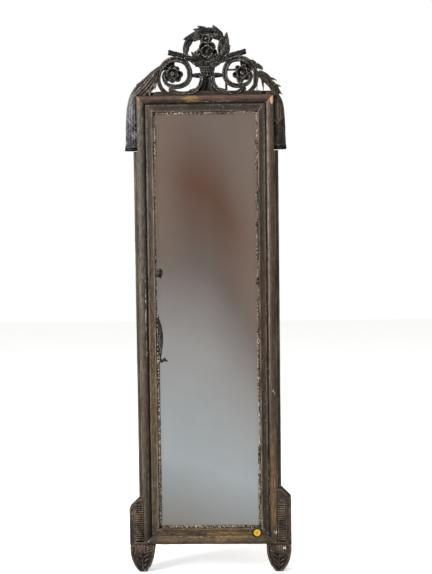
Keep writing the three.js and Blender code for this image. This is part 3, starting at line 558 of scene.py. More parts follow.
EVERYWHERE = 5000
MOULDING = OUTER_RIGHT - 10
STILE_TINTS_AND_PAINTED_LIGHT = spots([
    (-MOULDING, -330, 50, 17, 30, 800, (82, 78, 71)),
    (-MOULDING, -800, 50, 17, 30, 400, (80, 61, 47)),
    (-MOULDING, -1150, 50, 20, 30, 340, (54, 42, 35)),
    (-MOULDING - 5, FRAME_TOP - 16, 50, 11, 30, 30, (104, 72, 58)),
    # The right moulding's outer face: a brown, made darker as painted shade.
    (MOULDING + 3, -500, 50, 14, 30, EVERYWHERE, (60, 38, 23)),
    # A painted highlight down the right moulding's inner slope.
    (MOULDING - 8.5, -350, 46, 5, 20, 750, (146, 132, 126)),
    (MOULDING, -1060, 50, 14, 30, 250, (98, 72, 46)),
    (SIGHT_RIGHT + 11, -500, 40, 21, 20, EVERYWHERE, (44, 31, 16)),
    (SIGHT_LEFT - 9, -350, 40, 13, 20, 400, (62, 49, 36)),
    (SIGHT_LEFT - 9, -880, 40, 15, 20, 500, (90, 70, 42)),
    (SIGHT_RIGHT + 10, -580, 40, 16, 30, 260, (66, 44, 20)),
    (-MOULDING + 14, FRAME_BASE + 18, 44, 28, 30, 50, (30, 24, 20)),
    (MOULDING - 14, FRAME_BASE + 18, 44, 28, 30, 50, (32, 27, 26)),
])
TOP_TINTS = spots([
    (0, FRAME_TOP - 7, 50, EVERYWHERE, 30, 8, (84, 54, 38)),
    (0, FRAME_TOP - 33, 40, 160, 30, 14, (33, 31, 26)),
])
BOTTOM_TINTS = spots([
    (0, FRAME_BASE, 44, EVERYWHERE, 30, 9, (58, 40, 36)),
    (-168, FRAME_BASE + 20, 44, 34, 30, 50, (30, 24, 20)),
    (168, FRAME_BASE + 20, 44, 34, 30, 50, (32, 27, 28)),
])
STILE_FINISH = patina(
    "worn_gilding_upright", (62, 54, 44), (76, 62, 46), (124, 112, 98), (20, 15, 10),
    stretch=(1, 1, 0.22), flakes=0.7, tints_and_painted_light=STILE_TINTS_AND_PAINTED_LIGHT, golden=FRAME_GOLD, dotted=STILE_DOTS,
    gesso=FRAME_CHIPS, raw=BARE_CORNER, wear=0.6,
)
TOP_RAIL_FINISH = patina(
    "worn_gilding_top", (40, 34, 27), (54, 42, 30), (100, 80, 64), (14, 10, 7),
    stretch=(0.3, 1, 1), flakes=0.7, tints_and_painted_light=TOP_TINTS, golden=FRAME_GOLD, dotted=TOP_DOTS,
    gesso=FRAME_CHIPS, wear=0.5,
)
BOTTOM_RAIL_FINISH = patina(
    "worn_gilding_bottom", (66, 53, 36), (82, 64, 38), (124, 104, 78), (20, 14, 10),
    stretch=(0.3, 1, 1), flakes=0.71, tints_and_painted_light=BOTTOM_TINTS, golden=FRAME_GOLD, dotted=BOTTOM_DOTS,
    gesso=FRAME_CHIPS, painted_shade_and_dark_rims=ROUND_THE_DOT, wear=0.5,
)
STRIP_FINISH = patina(
    "dark_side_gilding", (58, 52, 42), (68, 58, 42), (108, 98, 82), (24, 20, 15),
    stretch=(1, 1, 0.2),
)
CREST_RAIL_FINISH = patina(
    "browned_crest_rail", (30, 24, 20), (42, 31, 24), (86, 68, 54), (9, 7, 5),
    stretch=(0.3, 1, 1), shine=0.3,
)
CREST_FINISH = patina(
    "blackened_carving", (15, 15, 15), (22, 20, 18), (94, 89, 84), (2, 2, 2),
    flakes=0.69, gloss=0.34, metal=0.05, shine=0.28,
)
# A painted shadow band across each tassel's hem.
TASSEL_HEM = spots([
    (side * 201, FRAME_TOP - 143, 36, 26, 30, 9) for side in (-1, 1)
])
GARLAND_FINISH = patina(
    "greyed_carving", (34, 33, 33), (48, 43, 38), (170, 167, 174), (5, 5, 4),
    stretch=(1, 1, 0.5), flakes=0.72, gloss=0.35, metal=0.05, shine=0.3, painted_shade_and_dark_rims=TASSEL_HEM,
    tints_and_painted_light=spots([(-201, FRAME_TOP - 52, 30, 30, 40, 55, (112, 111, 114))]),
)
RIBBON_FINISH = patina(
    "browned_ribbon", (36, 32, 29), (58, 43, 34), (134, 126, 120), (5, 4, 3),
    stretch=(1, 1, 0.7), flakes=0.7, gloss=0.4, metal=0.05, shine=0.3, wear=0.85,
    tints_and_painted_light=spots([(-202, FRAME_TOP - 12, 30, 25, 40, 36, (112, 111, 114))]),
)
BROWN_GARLAND_FINISH = patina(
    "browned_carving", (28, 22, 19), (40, 31, 24), (104, 89, 74), (5, 4, 3),
    stretch=(1, 1, 0.5), flakes=0.73, gloss=0.42, metal=0.05, shine=0.3, painted_shade_and_dark_rims=TASSEL_HEM,
    tints_and_painted_light=spots([(201, FRAME_TOP - 52, 30, 30, 40, 55, (74, 60, 49))]),
)
# Painted shade on each ear, next to the stile.
EAR_PAINTED_SHADE = spots([
    (side * (OUTER_RIGHT + 3), FRAME_BASE + 60, 44, 10, 30, 75, (30, 23, 18)) for side in (-1, 1)
])
EAR_FINISH = patina(
    "ear_gilding", (66, 54, 44), (58, 49, 40), (130, 112, 92), (12, 9, 6),
    stretch=(1, 1, 0.5), flakes=0.72, shine=0.35, tints_and_painted_light=EAR_PAINTED_SHADE, gesso=FRAME_CHIPS,
)
FOOT_X = sum(abs(corner.x) for corner in bench_box("left_foot")) / 2
FOOT_TINTS = spots([
    row for side in (-1, 1) for row in (
        (side * FOOT_X, FLOOR + 28, 38, 30, 30, 55, (30, 26, 22)),
        (side * (FOOT_X + 4), FRAME_BASE - 12, 38, 20, 30, 16, (104, 80, 62)),
    )
])
FOOT_CHIPS = spots([(FOOT_X + 15, FRAME_BASE - 14, 40, 9, 30, 9)])
FOOT_FINISH = patina(
    "foot_gilding", (58, 49, 41), (50, 43, 36), (118, 104, 88), (9, 7, 5),
    stretch=(1, 1, 0.5), flakes=0.7, shine=0.3, tints_and_painted_light=FOOT_TINTS, gesso=FOOT_CHIPS,
)
BEAD_CHIPS = spots([
    (SIGHT_RIGHT - 4, -690, 35, 20, 30, 130), (SIGHT_RIGHT - 4, -1090, 35, 20, 30, 100),
    (SIGHT_LEFT + 4, -850, 35, 20, 30, 320), (SIGHT_LEFT + 4, -130, 35, 20, 30, 100),
    (-20, SIGHT_BASE + 4, 35, 200, 30, 20), (-75, SIGHT_TOP - 4, 35, 60, 30, 20),
])
BEAD_FINISH = patina(
    "flaking_bead_gilding", (20, 15, 11), (33, 25, 18), (92, 78, 64), (4, 3, 2),
    flakes=0.67, gloss=0.38, shine=0.4, wear=0.6, gesso=BEAD_CHIPS, sparse=0.58,
)


def gesso_finish():
    paint, place = new_finish("broken_gesso")
    cloud = paint.noise(place, 160, 3)
    dirt = paint.noise(place, 420, 3)
    tone = paint.mix(cloud.step(0.4, 0.62), GESSO, PINK_GESSO)
    tone = paint.mix(dirt.step(0.42, 0.57), tone, colour(64, 50, 39))
    return paint.surface(tone, 0.75 + dirt * 0.2, 0.0, dirt, bump_height=0.0008)


def pine_finish():
    paint, place = new_finish("aged_pine")
    long = paint.vector("MULTIPLY", place, (0.08, 1, 1))
    grain = paint.noise(long, 160, 4)
    rings = paint.noise(long, 34, 3)
    dirt = paint.noise(place, 22, 4)
    tone = paint.mix(rings.step(0.4, 0.6), colour(158, 122, 82), colour(126, 92, 58))
    tone = paint.mix(grain.step(0.55, 0.7) * 0.6, tone, colour(92, 64, 40))
    tone = paint.mix(dirt.step(0.5, 0.75) * 0.6, tone, colour(78, 62, 46))
    return paint.surface(tone, 0.72 + grain * 0.2, 0.0, grain, bump_height=0.0005)


def iron_finish():
    paint, place = new_finish("rusted_iron")
    cloud = paint.noise(place, 190, 4)
    grain = paint.noise(place, 900, 2)
    rust = cloud.step(0.48, 0.62)
    tone = paint.mix(rust, colour(74, 70, 66), colour(104, 62, 38))
    relief = grain + cloud * 0.5
    return paint.surface(tone, 0.4 + rust * 0.4, 0.9 - rust * 0.8, relief, bump_height=0.0003)


def glass_finish():
    """An old plate: clear silvering, a little cloudy and spotted towards its edges."""
    paint, place = new_finish("old_silvered_glass")
    cloud = paint.noise(place, 9, 3)
    specks = paint.noise(place, 240, 3)
    x, z = (paint.node("SeparateXYZ", {"Vector": place}, out=axis) for axis in (0, 2))
    rim = 0.02
    half = (SIGHT_RIGHT - SIGHT_LEFT) / 2000
    middle = (SIGHT_BASE + SIGHT_TOP) / 2000
    reach = (SIGHT_TOP - SIGHT_BASE) / 2000
    side = x.maths("ABSOLUTE", x).step(half - rim, half)
    level = z.maths("ABSOLUTE", z - middle).step(reach - rim, reach)
    edge = side.maths("MAXIMUM", side, level)
    spots = specks.step(0.66, 0.7) * edge
    tone = paint.mix(cloud.step(0.35, 0.7) * 0.35, colour(243, 244, 244), colour(232, 233, 232))
    tone = paint.mix(edge * 0.3, tone, colour(206, 204, 198))
    tone = paint.mix(spots * 0.5, tone, colour(90, 80, 70))
    return paint.surface(tone, 0.03 + edge * 0.06 + spots * 0.2, 1.0)


DOT_RADIUS = 10.8


def dot_finish():
    """Yellow paper, deeper in its middle and dark at its rim."""
    paint, place = new_finish("yellow_paper")
    away = paint.vector("LENGTH", paint.vector("SUBTRACT", place, metres(*DOT_MIDDLE)), out="Value")
    fibres = paint.noise(place, 700, 3)
    radius = DOT_RADIUS / 1000
    tone = paint.mix(away.step(radius * 0.15, radius * 0.6), colour(158, 106, 4), colour(176, 148, 22))
    tone = paint.mix(away.step(radius * 0.8, radius * 0.92), tone, colour(40, 32, 12))
    return paint.surface(tone, 0.8 + fibres * 0.1, 0.0, fibres, bump_height=0.0002)


GESSO_FINISH = gesso_finish()
PINE = pine_finish()
IRON = iron_finish()
GLASS = glass_finish()
PAPER = dot_finish()


def refinished(node, material):
    """Gives a CAD node its finish and leaves its shape alone."""
    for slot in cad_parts[node].material_slots:
        slot.material = material


# ---- mitred frame and strips

def bench_copy(node):
    """A copy of a CAD node, laid on the bench and its faces joined."""
    piece = copied(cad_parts[node], HANG.inverted())
    piece.parent = None
    for key in list(piece.keys()):
        del piece[key]
    with editing(piece, whole=True):
        bpy.ops.mesh.remove_doubles(threshold=0.01)
    return piece


def worn_copy(node, axis, spacing=7.0):
    """A copy of a plain member, cut across into short lengths so that it can wear."""
    piece = bench_copy(node)
    low, high = bench_box(node)
    cut = low[axis] + spacing
    point, normal = [0, 0, 0], [0, 0, 0]
    normal[axis] = 1
    with editing(piece, whole=True):
        bpy.ops.mesh.tris_convert_to_quads(face_threshold=0.1, shape_threshold=3.1)
        while cut < high[axis]:
            point[axis] = cut
            bpy.ops.mesh.select_all(action="SELECT")
            bpy.ops.mesh.bisect(plane_co=point, plane_no=normal)
            cut += spacing
    return piece


# Distances from the frame's outer edge, and depths, of the groove between moulding and band.
GROOVE_NEAR = 21.0
GROOVE_FAR = 23.5
GROOVE_DEPTH = 38.5
ARRIS_DEPTH = 41.0
NEAR = 0.3  # how close a corner has to be to be taken for one of them


def rubbed_down(piece, axis, edge, filled):
    """The band's sharp arris rubbed away and, on the lower rail, the groove filled with dirt."""
    across = 1 - axis
    changes = [(GROOVE_FAR, ARRIS_DEPTH, -1.0)]
    if filled:
        changes += [(GROOVE_NEAR, GROOVE_DEPTH, 4.0), (GROOVE_FAR, GROOVE_DEPTH, 1.6)]
    with editing(piece):
        for reach, depth, rise in changes:
            pick(piece, lambda co: max(abs(abs(co[across] - edge) - reach), abs(co.z - depth)) < NEAR)
            push(0, 0, rise)


def frame_members():
    for seed, (node, axis, edge, finish) in enumerate([
        ("bottom_rail", 0, FRAME_BASE, BOTTOM_RAIL_FINISH), ("top_rail", 0, FRAME_TOP, TOP_RAIL_FINISH),
        ("left_stile", 1, OUTER_LEFT, STILE_FINISH), ("right_stile", 1, OUTER_RIGHT, STILE_FINISH),
    ]):
        piece = worn_copy(node, axis)
        rubbed_down(piece, axis, edge, filled=node == "bottom_rail")
        uneven(piece, 26, 1.2, seed)
        uneven(piece, 6, 0.8, seed + 5)
        hang(piece, "worn_" + node, finish, "gilding", node, smooth=35)
    for seed, node in enumerate(["left_side_strip", "right_side_strip"]):
        piece = uneven(worn_copy(node, 1), 20, 1.0, seed + 9)
        hang(piece, "worn_" + node, STRIP_FINISH, "dark_gilding", node, smooth=35)
    piece = uneven(worn_copy("crest_rail", 0, 5.0), 12, 1.2, 12)
    hang(piece, "worn_crest_rail", CREST_RAIL_FINISH, "dark_gilding", "crest_rail", smooth=40)


# ---- bead and reel

PITCH = 78.0
BAR_LENGTH = 42.0
BEAD_PITCH = (PITCH - BAR_LENGTH) / 3
SLIP_WIDTH = bench_box("bottom_bead_slip")[1].y - SIGHT_BASE
BEAD_RADIUS = 3.7
SLIP_SEAT = bench_box("bottom_bead_slip")[0].z
FILLET = 1.6  # thickness of the strip that carries the beads


def bead_blanks():
    bar = begun(
        bpy.ops.mesh.primitive_cylinder_add, vertices=10, radius=BEAD_RADIUS * 0.86,
        depth=BAR_LENGTH - 3, rotation=(0, radians(90), 0),
    )
    modified(bar, "BEVEL", width=2.4, segments=2, limit_method="ANGLE")
    bead = begun(
        bpy.ops.mesh.primitive_uv_sphere_add, segments=10, ring_count=6, radius=BEAD_RADIUS,
        rotation=(0, radians(90), 0),
    )
    with editing(bead, whole=True):
        scale((1.25, 1, 1), (0, 0, 0))
    return bar, bead


def missing(place, stretches):
    return any(low <= place <= high for low, high in stretches)


def bead_run(side, length, first, lost, lost_bars, to_bench, seed):
    """One slip: a thin fillet with bars and triple beads on it, short of what has fallen off, and
    crumbs of gesso where it was. It is made along X, with the glass on its +Y side, and then laid
    in its place."""
    rng = random.Random(seed)
    bar, bead = bead_blanks()
    parts, broken = [], []
    middle = SLIP_WIDTH / 2
    height = SLIP_SEAT + BEAD_RADIUS * 0.9
    at = first
    while at < length + PITCH:
        if 0 < at < length and not missing(at, lost + lost_bars):
            parts.append(placed(bar, at, middle, height, turn=rng.uniform(-1, 1)))
        for i in range(3):
            spot = at + BAR_LENGTH / 2 + (i + 0.5) * BEAD_PITCH
            if 4 < spot < length - 4 and not missing(spot, lost):
                size = rng.uniform(0.86, 1.08)
                across = middle + rng.uniform(-0.5, 0.5)
                parts.append(placed(bead, spot, across, height, turn=rng.uniform(-9, 9), size=size))
        at += PITCH
    steps = int(length / 4)
    fillet = begun(bpy.ops.mesh.primitive_grid_add, x_subdivisions=steps, y_subdivisions=1, size=1)
    to_place = Matrix.Translation((length / 2, middle, SLIP_SEAT + FILLET))
    fillet.data.transform(to_place @ Matrix.Diagonal((length, SLIP_WIDTH, 1, 1)))
    ragged = [rng.uniform(0.0, 1.0) for _ in range(steps + 1)]
    with editing(fillet):
        for step in range(steps + 1):
            along = step * length / steps
            if missing(along, lost):
                keep = 2.2 + 2.4 * ragged[step]
            elif missing(along, lost_bars):
                keep = 3.4 + 2.0 * ragged[step]
            else:
                keep = SLIP_WIDTH - 0.9 * ragged[step]
            pick(fillet, lambda co: abs(co.x - along) < 0.5 and co.y > middle)
            push(0, keep - SLIP_WIDTH, 0)
    modified(fillet, "SOLIDIFY", thickness=FILLET, offset=-1)
    parts.append(fillet)
    for low, high in lost + lost_bars:
        along = max(low, 3.0)
        while along < min(high, length - 3):
            if rng.random() < 0.72:
                radius = rng.uniform(1.1, 2.0)
                chip = begun(bpy.ops.mesh.primitive_ico_sphere_add, subdivisions=1, radius=radius)
                chip.data.transform(Matrix.Diagonal((rng.uniform(1.2, 3.2), 0.8, 0.7, 1)))
                depth = SLIP_SEAT + rng.uniform(1.2, 2.6)
                across, turn = rng.uniform(1.0, 3.6), rng.uniform(-14, 14)
                broken.append(placed(chip, along, across, depth, turn=turn))
                discarded(chip)
            along += rng.uniform(3.0, 7.0)
    discarded(bar, bead)
    run = gathered(parts)
    run.data.transform(to_bench)
    hang(run, "beads_" + side, BEAD_FINISH, "dark_gilding", side + "_bead_slip", smooth=60)
    if broken:
        chips = gathered(broken)
        chips.data.transform(to_bench)
        hang(chips, "gesso_" + side, GESSO_FINISH, "dark_gilding", smooth=30)


# Heights on the right slip as on the bench: what is lost, where bars alone are lost, the first bar.
LOST_RIGHT = [(-935, -850), (-100, -25)]
LOST_RIGHT_BARS = [
    (-165, -125), (-245, -205), (-320, -280), (-472, -430), (-530, -500), (-860, -780), (-1030, -990),
]
FIRST_RIGHT_BAR = -1069


def bead_slips():
    """Each run starts at a corner of the sight opening."""
    width, height = SIGHT_RIGHT - SIGHT_LEFT, SIGHT_TOP - SIGHT_BASE
    corners = [
        Matrix.Translation((x, y, 0)) @ spun(turn, "Z") for x, y, turn in (
            (SIGHT_LEFT, SIGHT_BASE, 0), (SIGHT_RIGHT, SIGHT_TOP, 180),
            (SIGHT_LEFT, SIGHT_TOP, -90), (SIGHT_RIGHT, SIGHT_BASE, 90),
        )
    ]
    bead_run("bottom", width, 51, [], [], corners[0], 1)
    bead_run("top", width, 50, [(22, 62)], [], corners[1], 2)
    from_top = [(SIGHT_TOP + 147, SIGHT_TOP + 575)]
    bead_run("left", height, SIGHT_TOP + 82, from_top, [], corners[2], 3)
    from_base = [
        [(low - SIGHT_BASE, high - SIGHT_BASE) for low, high in stretches]
        for stretches in (LOST_RIGHT, LOST_RIGHT_BARS)
    ]
    bead_run("right", height, FIRST_RIGHT_BAR - SIGHT_BASE, *from_base, corners[3], 4)


# Lumps of the loose fragments: x, y, radius and flatness. The sprung slip: x, y, rise and share.
SCRAP = [
    (-131, -460, 14, 0.4), (-136, -455, 9, 0.5), (-129, -449, 7, 0.5), (-124, -453, 5, 0.6),
    (-131, -463, 7, 0.5), (-140, -468, 6, 0.5), (-128, -470, 4, 0.5),
]
SPRUNG_LINE = [
    (-143, -568, 0, 0.5), (-136, -588, 0, 0.9), (-130, -612, 1, 1.0), (-128, -648, 1, 0.9),
    (-131, -676, 0, 0.8), (-133, -694, 0, 0.6),
]
SPRUNG_TIP = [
    (-135, -698, 8, 0.5), (-130, -699, 7, 0.5), (-121, -696, 8, 0.5), (-127, -701, 5, 0.5),
    (-114, -700, 4, 0.5),
]


def loose_fragments():
    """A scrap of the left slip that stands off the glass, and a longer one that has sprung out."""
    depth = GLASS_FRONT + 4
    for name, line, lumps in (("loose_scrap", [], SCRAP), ("sprung_slip", SPRUNG_LINE, SPRUNG_TIP)):
        parts = [rod([(x, y, depth + rise, share) for x, y, rise, share in line], 4.6)] if line else []
        parts += [ball(x, y, depth, radius, flat) for x, y, radius, flat in lumps]
        hang(uneven(carved(parts, 0.9), 5, 1.4, 3), name, BEAD_FINISH, "dark_gilding")


# ---- crest

# The right scroll's middle line, from the crest rail round to its eye: x, y and width.
SCROLL_LINE = [
    (112, 8, 9.5), (123, 19, 9.5), (130, 32, 9.5), (133, 46, 9.5), (131.5, 61, 10.5),
    (124, 76, 12.5), (111, 90, 14), (95, 98, 14), (77, 98.5, 14), (61, 91.5, 13), (51, 77, 12.5),
    (47.5, 58, 12.5), (51.5, 42, 11.5), (63, 31, 11), (79, 26, 10.5), (95, 27, 9.5), (108, 32, 8.5),
    (116.5, 43, 8), (118.5, 56, 7.5), (113, 68, 5),
]
ROSETTE = (94, 60)
# The strip that runs from the pedestal over the crest rail and up into the curl.
FOOT_STRIP_LINE = [
    (15, 50, 8), (17, 36, 8), (23, 23, 8.5), (35, 12, 8.5), (54, 8, 7.5), (76, 8, 7), (89, 12, 8),
    (96, 20, 7),
]
RAIL_FRONT = bench_box("crest_rail")[1].z


def scroll(side, leaves):
    parts = band(SCROLL_LINE, BACK, FRONT)
    husk = blade(26, 15, 6, crown=0.3, curl=4)
    for x, y, turn, size in leaves:
        parts.append(placed(husk, x, y, BACK + 9, turn=turn, size=size))
    # Where the curl rests on the rail: a knot of small leaves, standing in front of it.
    knot = [(97, 24, -128), (90, 10, 60), (104, 12, 118), (96, 8, 90)]
    parts += sown(husk, knot, RAIL_FRONT - 6, size=0.75)
    parts.append(ball(97, 14, RAIL_FRONT - 8, 9, 1.1))
    discarded(husk)
    return upright(side, carved(parts, 1.1))


def rosette(side, petals, turned, seed):
    """A double flower: a ring of lobed petals, a smaller ring over it, and a heart of pips."""
    rng = random.Random(seed)
    x, y = ROSETTE
    outer = blade(25, 19, 5, petal_outline, crown=-0.12, vein=0.14, curl=2)
    inner = blade(17, 13, 4.5, petal_outline, crown=-0.12, vein=0.14, curl=4)
    parts = [ball(x, y, BACK + 7, 15, 0.7)]
    for i in range(petals):
        turn = 360 * i / petals + turned + rng.uniform(-5, 5)
        size, roll = rng.uniform(0.88, 1.08), rng.uniform(-16, 16)
        parts.append(placed(outer, x, y, BACK + 8, turn=turn, tilt=4, roll=roll, size=size))
        turn, roll = turn + 180 / petals, rng.uniform(-12, 12)
        parts.append(placed(inner, x, y, BACK + 13, turn=turn, tilt=24, roll=roll))
    for i in range(5):
        turn = radians(72 * i + turned)
        parts.append(ball(x + 3.6 * cos(turn), y + 3.6 * sin(turn), BACK + 19, 3.2))
    # A leaf that joins the flower to the band above it.
    parts.append(placed(outer, x + 2, y + 12, BACK + 3, turn=75, size=1.15))
    parts.append(placed(outer, x + 8, y + 10, BACK + 3, turn=40, size=1.0))
    discarded(outer, inner)
    return upright(side, carved(parts, 0.9))


def cross_bar():
    # Turned beads and necks from the middle to the end: distance and share of the thickness.
    half = [(8, 0.95), (15, 0.74), (21, 1.0), (31, 0.88), (39, 0.68), (43, 1.0), (47, 0.9)]
    shares = [(-x, share) for x, share in half[::-1]] + [(0, 1.1)] + half
    parts = [rod([(x, 55, CORE, share) for x, share in shares], 7.4)]
    leaf = blade(22, 13, 4, crown=0.3, vein=0.12)
    for turn in (0, 180):
        parts.append(placed(leaf, 0, 55, CORE + 4, turn=turn, tilt=5))
    parts.append(ball(0, 55, CORE + 7, 5.5, 0.7))
    discarded(leaf)
    return carved(parts)


def pedestal():
    """Two leaves back to back that spread over the crest rail, edged by a strip on each side."""
    core = begun(bpy.ops.mesh.primitive_cube_add, size=1, location=(0, 28, CORE - 3))
    with editing(core, whole=True):
        scale((34, 44, 14), (0, 28, CORE - 3))
        pick(core, lambda co: co.y < 10)
        scale((1.5, 1, 1), (0, 6, CORE - 3))
    parts = [core]
    low = [(-50, 14), (-30, 17), (0, 18), (30, 17), (50, 14)]
    parts.append(rod([(x, y, CORE - 4, 0.55 if abs(x) > 40 else 1.0) for x, y in low], 6))
    lobe = blade(52, 17, 6, crown=0.36, vein=0.16, curl=9, sway=-5)
    for side in (-1, 1):
        parts.append(upright(side, placed(lobe, 8, 51, BACK + 14, turn=-74)))
        parts.append(upright(side, placed(lobe, 12, 46, BACK + 12, turn=-58, size=0.8)))
        parts += [upright(side, part) for part in band(FOOT_STRIP_LINE, BACK, RAIL_FRONT + 5)]
    discarded(lobe)
    return carved(parts, 1.1)


def vase():
    low, high = bench_box("vase")
    base, top = low.y - FRAME_TOP, high.y - FRAME_TOP
    body = begun(
        bpy.ops.mesh.primitive_cylinder_add, vertices=32, radius=16, depth=top - base,
        location=(0, (base + top) / 2, CORE), rotation=(radians(90), 0, 0),
    )
    parts = [body]
    for i in range(11):
        turn = radians(-10 + 20 * i)
        x, z = 17.5 * cos(turn), CORE + 15 * sin(turn)
        waist = (base + top) / 2
        gadroon = [(x * 0.9, base + 1, z, 0.8), (x, waist, z, 1.0), (x * 1.04, top - 3, z, 1.0)]
        parts.append(rod(gadroon, 3))
    rim = [(20 * cos(t), top - 1.5, CORE + 16 * sin(t), 1.0)
           for t in (radians(30 * i) for i in range(12))]
    parts.append(rod(rim, 2.2, closed=True))
    flat = 0.8
    whole = carved(parts, 0.9)
    whole.data.transform(Matrix.Diagonal((1, 1, flat, 1)))
    return moved(whole, 0, 0, CORE * (1 - flat))


def bouquet_leaves():
    """Broad leaves that spread from the vase, and the stalks of the flowers."""
    broad = blade(54, 25, 6, toothed_outline, crown=0.3, vein=0.16, curl=5, sway=4)
    small = blade(34, 19, 5, crown=0.3, vein=0.14, curl=5)
    parts = [ball(0, 86, CORE - 2, 17, 0.7)]
    leaves = [
        (broad, -6, 80, 151, 3), (broad, 8, 80, 28, 3), (small, -8, 82, 118, 6), (small, 10, 82, 66, 6),
        (small, -6, 80, 168, 6), (small, 6, 80, 12, 6), (small, -22, 92, 128, 8),
        (small, -30, 96, 172, 8), (small, 22, 90, 52, 8), (small, 28, 92, 12, 6),
    ]
    for blank, x, y, turn, rise in leaves:
        parts.append(placed(blank, x, y, BACK + 5 + rise, turn=turn, tilt=4))
    stalk = [(0, 84, CORE - 5, 1), (-1, 120, CORE - 7, 0.9), (0, 160, CORE - 7, 0.8)]
    parts.append(rod(stalk, 8))
    discarded(broad, small)
    return carved(parts, 1.1)


def rose(x, y, radius, depth, turned):
    """A full rose: wide outer petals, cupped inner ones and a closed bud."""
    outer = blade(radius, radius, 4, petal_outline, crown=-0.14, vein=0.06, curl=radius * 0.12)
    small = radius * 0.66
    inner = blade(small, small, 4, petal_outline, crown=-0.16, vein=0.0, curl=radius * 0.2)
    parts = [ball(x, y, depth + 3, radius * 0.6, 0.75)]
    petals = 5
    for i in range(petals):
        turn = 360 * i / petals + turned
        parts.append(placed(outer, x, y, depth + 4, turn=turn, tilt=6, roll=9))
        parts.append(placed(inner, x, y, depth + 9, turn=turn + 180 / petals, tilt=26, roll=9))
    parts.append(ball(x, y, depth + 13, radius * 0.25, 1.1))
    discarded(outer, inner)
    return carved(parts)


def branch(side):
    """A lopped branch: thick at its cut end, knotty, with a ridge of bark along its top."""
    points = [(18, 88, CORE, 0.75), (42, 100, CORE, 0.82), (67, 108.5, CORE, 0.88),
              (90, 114, CORE, 1.0), (105, 118, CORE, 1.1)]
    parts = [rod(points, 7.2)]
    knots = [(58, 110, 5), (84, 117, 5), (72, 105, 4)]
    parts += [ball(x, y, CORE + 3, radius) for x, y, radius in knots]
    for rise, share in ((4.5, 1.0), (-1, 0.8)):
        ridge = [(x, y + rise, CORE + 4.4, share) for x, y, _, _ in points[1:]]
        parts.append(rod(ridge, 2.4))
    return upright(side, carved(parts))


# The ring of laurel. Each leaf: its root, its tip and its width; all run the same way round.
LEFT_LAURELS = [
    ((30, 173), (-32, 179), 23), ((-4, 172), (-58, 151), 27), ((-34, 158), (-56, 120), 19),
    ((-46, 142), (-50, 108), 15), ((-8, 164), (-32, 145), 15), ((8, 180), (-20, 187), 12),
]
LEFT_LAUREL_STEM = [(-50, 110), (-52, 128), (-45, 148), (-30, 163), (-10, 173), (12, 177), (30, 174)]
RIGHT_LAURELS = [((51, 153), (22, 190), 27), ((50, 156), (8, 166), 22), ((52, 150), (28, 158), 16)]
RIGHT_LAUREL_STEM = [(30, 174), (42, 165), (52, 150)]


def leaf_between(blank, length, breadth, root, tip, width):
    """A copy of a leaf of some length and breadth, stretched and turned to run from root to tip."""
    way = Vector(tip) - Vector(root)
    leaf = copied(blank, Matrix.Diagonal((way.length / length, width / breadth, 1, 1)))
    leaf.data.transform(spun(degrees(atan2(way.y, way.x)), "Z"))
    return leaf


def wreath(leaves, stem, radius):
    blank = blade(50, 22, 6, crown=0.32, vein=0.14, curl=3, sway=2)
    parts = [rod([(x - CREST_X, y, BACK + 8, 1) for x, y in stem], radius)]
    for i, (root, tip, width) in enumerate(leaves):
        leaf = leaf_between(blank, 50, 22, root, tip, width)
        x, y = root[0] - CREST_X, root[1]
        parts.append(moved(leaf, x, y, BACK + 7 + 3 * (i % 2)))
        middle = Vector(root).lerp(Vector(tip), 0.55)
        rib = [(x, y, BACK + 8, 1), (middle.x - CREST_X, middle.y, BACK + 8, 0.6)]
        parts.append(rod(rib, width * 0.2))
    discarded(blank)
    return carved(parts)


def standing_leaf():
    """One broad acanthus leaf that leans left at its foot and stands straight above."""
    tall = blade(84, 32, 7, toothed_outline, crown=0.26, vein=0.14, curl=4, sway=-5)
    small = blade(44, 19, 6, crown=0.28, vein=0.14, curl=5)
    parts = [
        placed(tall, 30, 92, BACK + 6, turn=73), placed(small, 26, 90, BACK + 9, turn=58),
        placed(small, 46, 112, BACK + 10, turn=72), placed(small, 34, 112, BACK + 10, turn=84),
        placed(small, 44, 96, BACK + 9, turn=64),
    ]
    discarded(tall, small)
    return carved(parts, 1.1)


def stay(node, thick):
    """A plain prop, cut square."""
    low, high = bench_box(node)
    middle, size = (low + high) / 2, high - low
    piece = begun(bpy.ops.mesh.primitive_cube_add, size=1, location=middle - CREST)
    with editing(piece, whole=True):
        scale([max(length, thick) for length in size], middle - CREST)
    modified(piece, "BEVEL", width=1.2, segments=2)
    return carved([piece])


def crest():
    made = [
        ("right_scroll", scroll(1, [(127, 84, -28, 1.1), (116, 94, -30, 0.9)])),
        ("left_scroll", scroll(-1, [(126, 76, -30, 0.8)])),
        ("right_rosette", rosette(1, 6, 12, 3)),
        ("left_rosette", rosette(-1, 8, 0, 4)),
        ("cross_bar", cross_bar()),
        ("pedestal", pedestal()),
        ("vase", vase()),
        ("bouquet_leaves", bouquet_leaves()),
        ("large_blossom", rose(1, 118, 27, BACK + 7, 54)),
        ("top_blossom", rose(-3, 153, 18, BACK, 90)),
        ("side_blossom", rose(-20, 112, 14, BACK + 2, 20)),
        ("left_branch", branch(-1)),
        ("right_branch", branch(1)),
        ("left_wreath", wreath(LEFT_LAURELS, LEFT_LAUREL_STEM, 6.5)),
        ("right_wreath", wreath(RIGHT_LAURELS, RIGHT_LAUREL_STEM, 6)),
        ("standing_leaf", standing_leaf()),
        ("crest_stay", stay("crest_stay", 6.5)),
        ("rosette_stay", stay("rosette_stay", 5.5)),
    ]
    for seed, (node, piece) in enumerate(made):
        moved(uneven(piece, 5, 1.2, seed), *CREST)
        hang(piece, "carved_" + node, CREST_FINISH, "iron" if "stay" in node else "crest_finish", node)


# ---- garlands

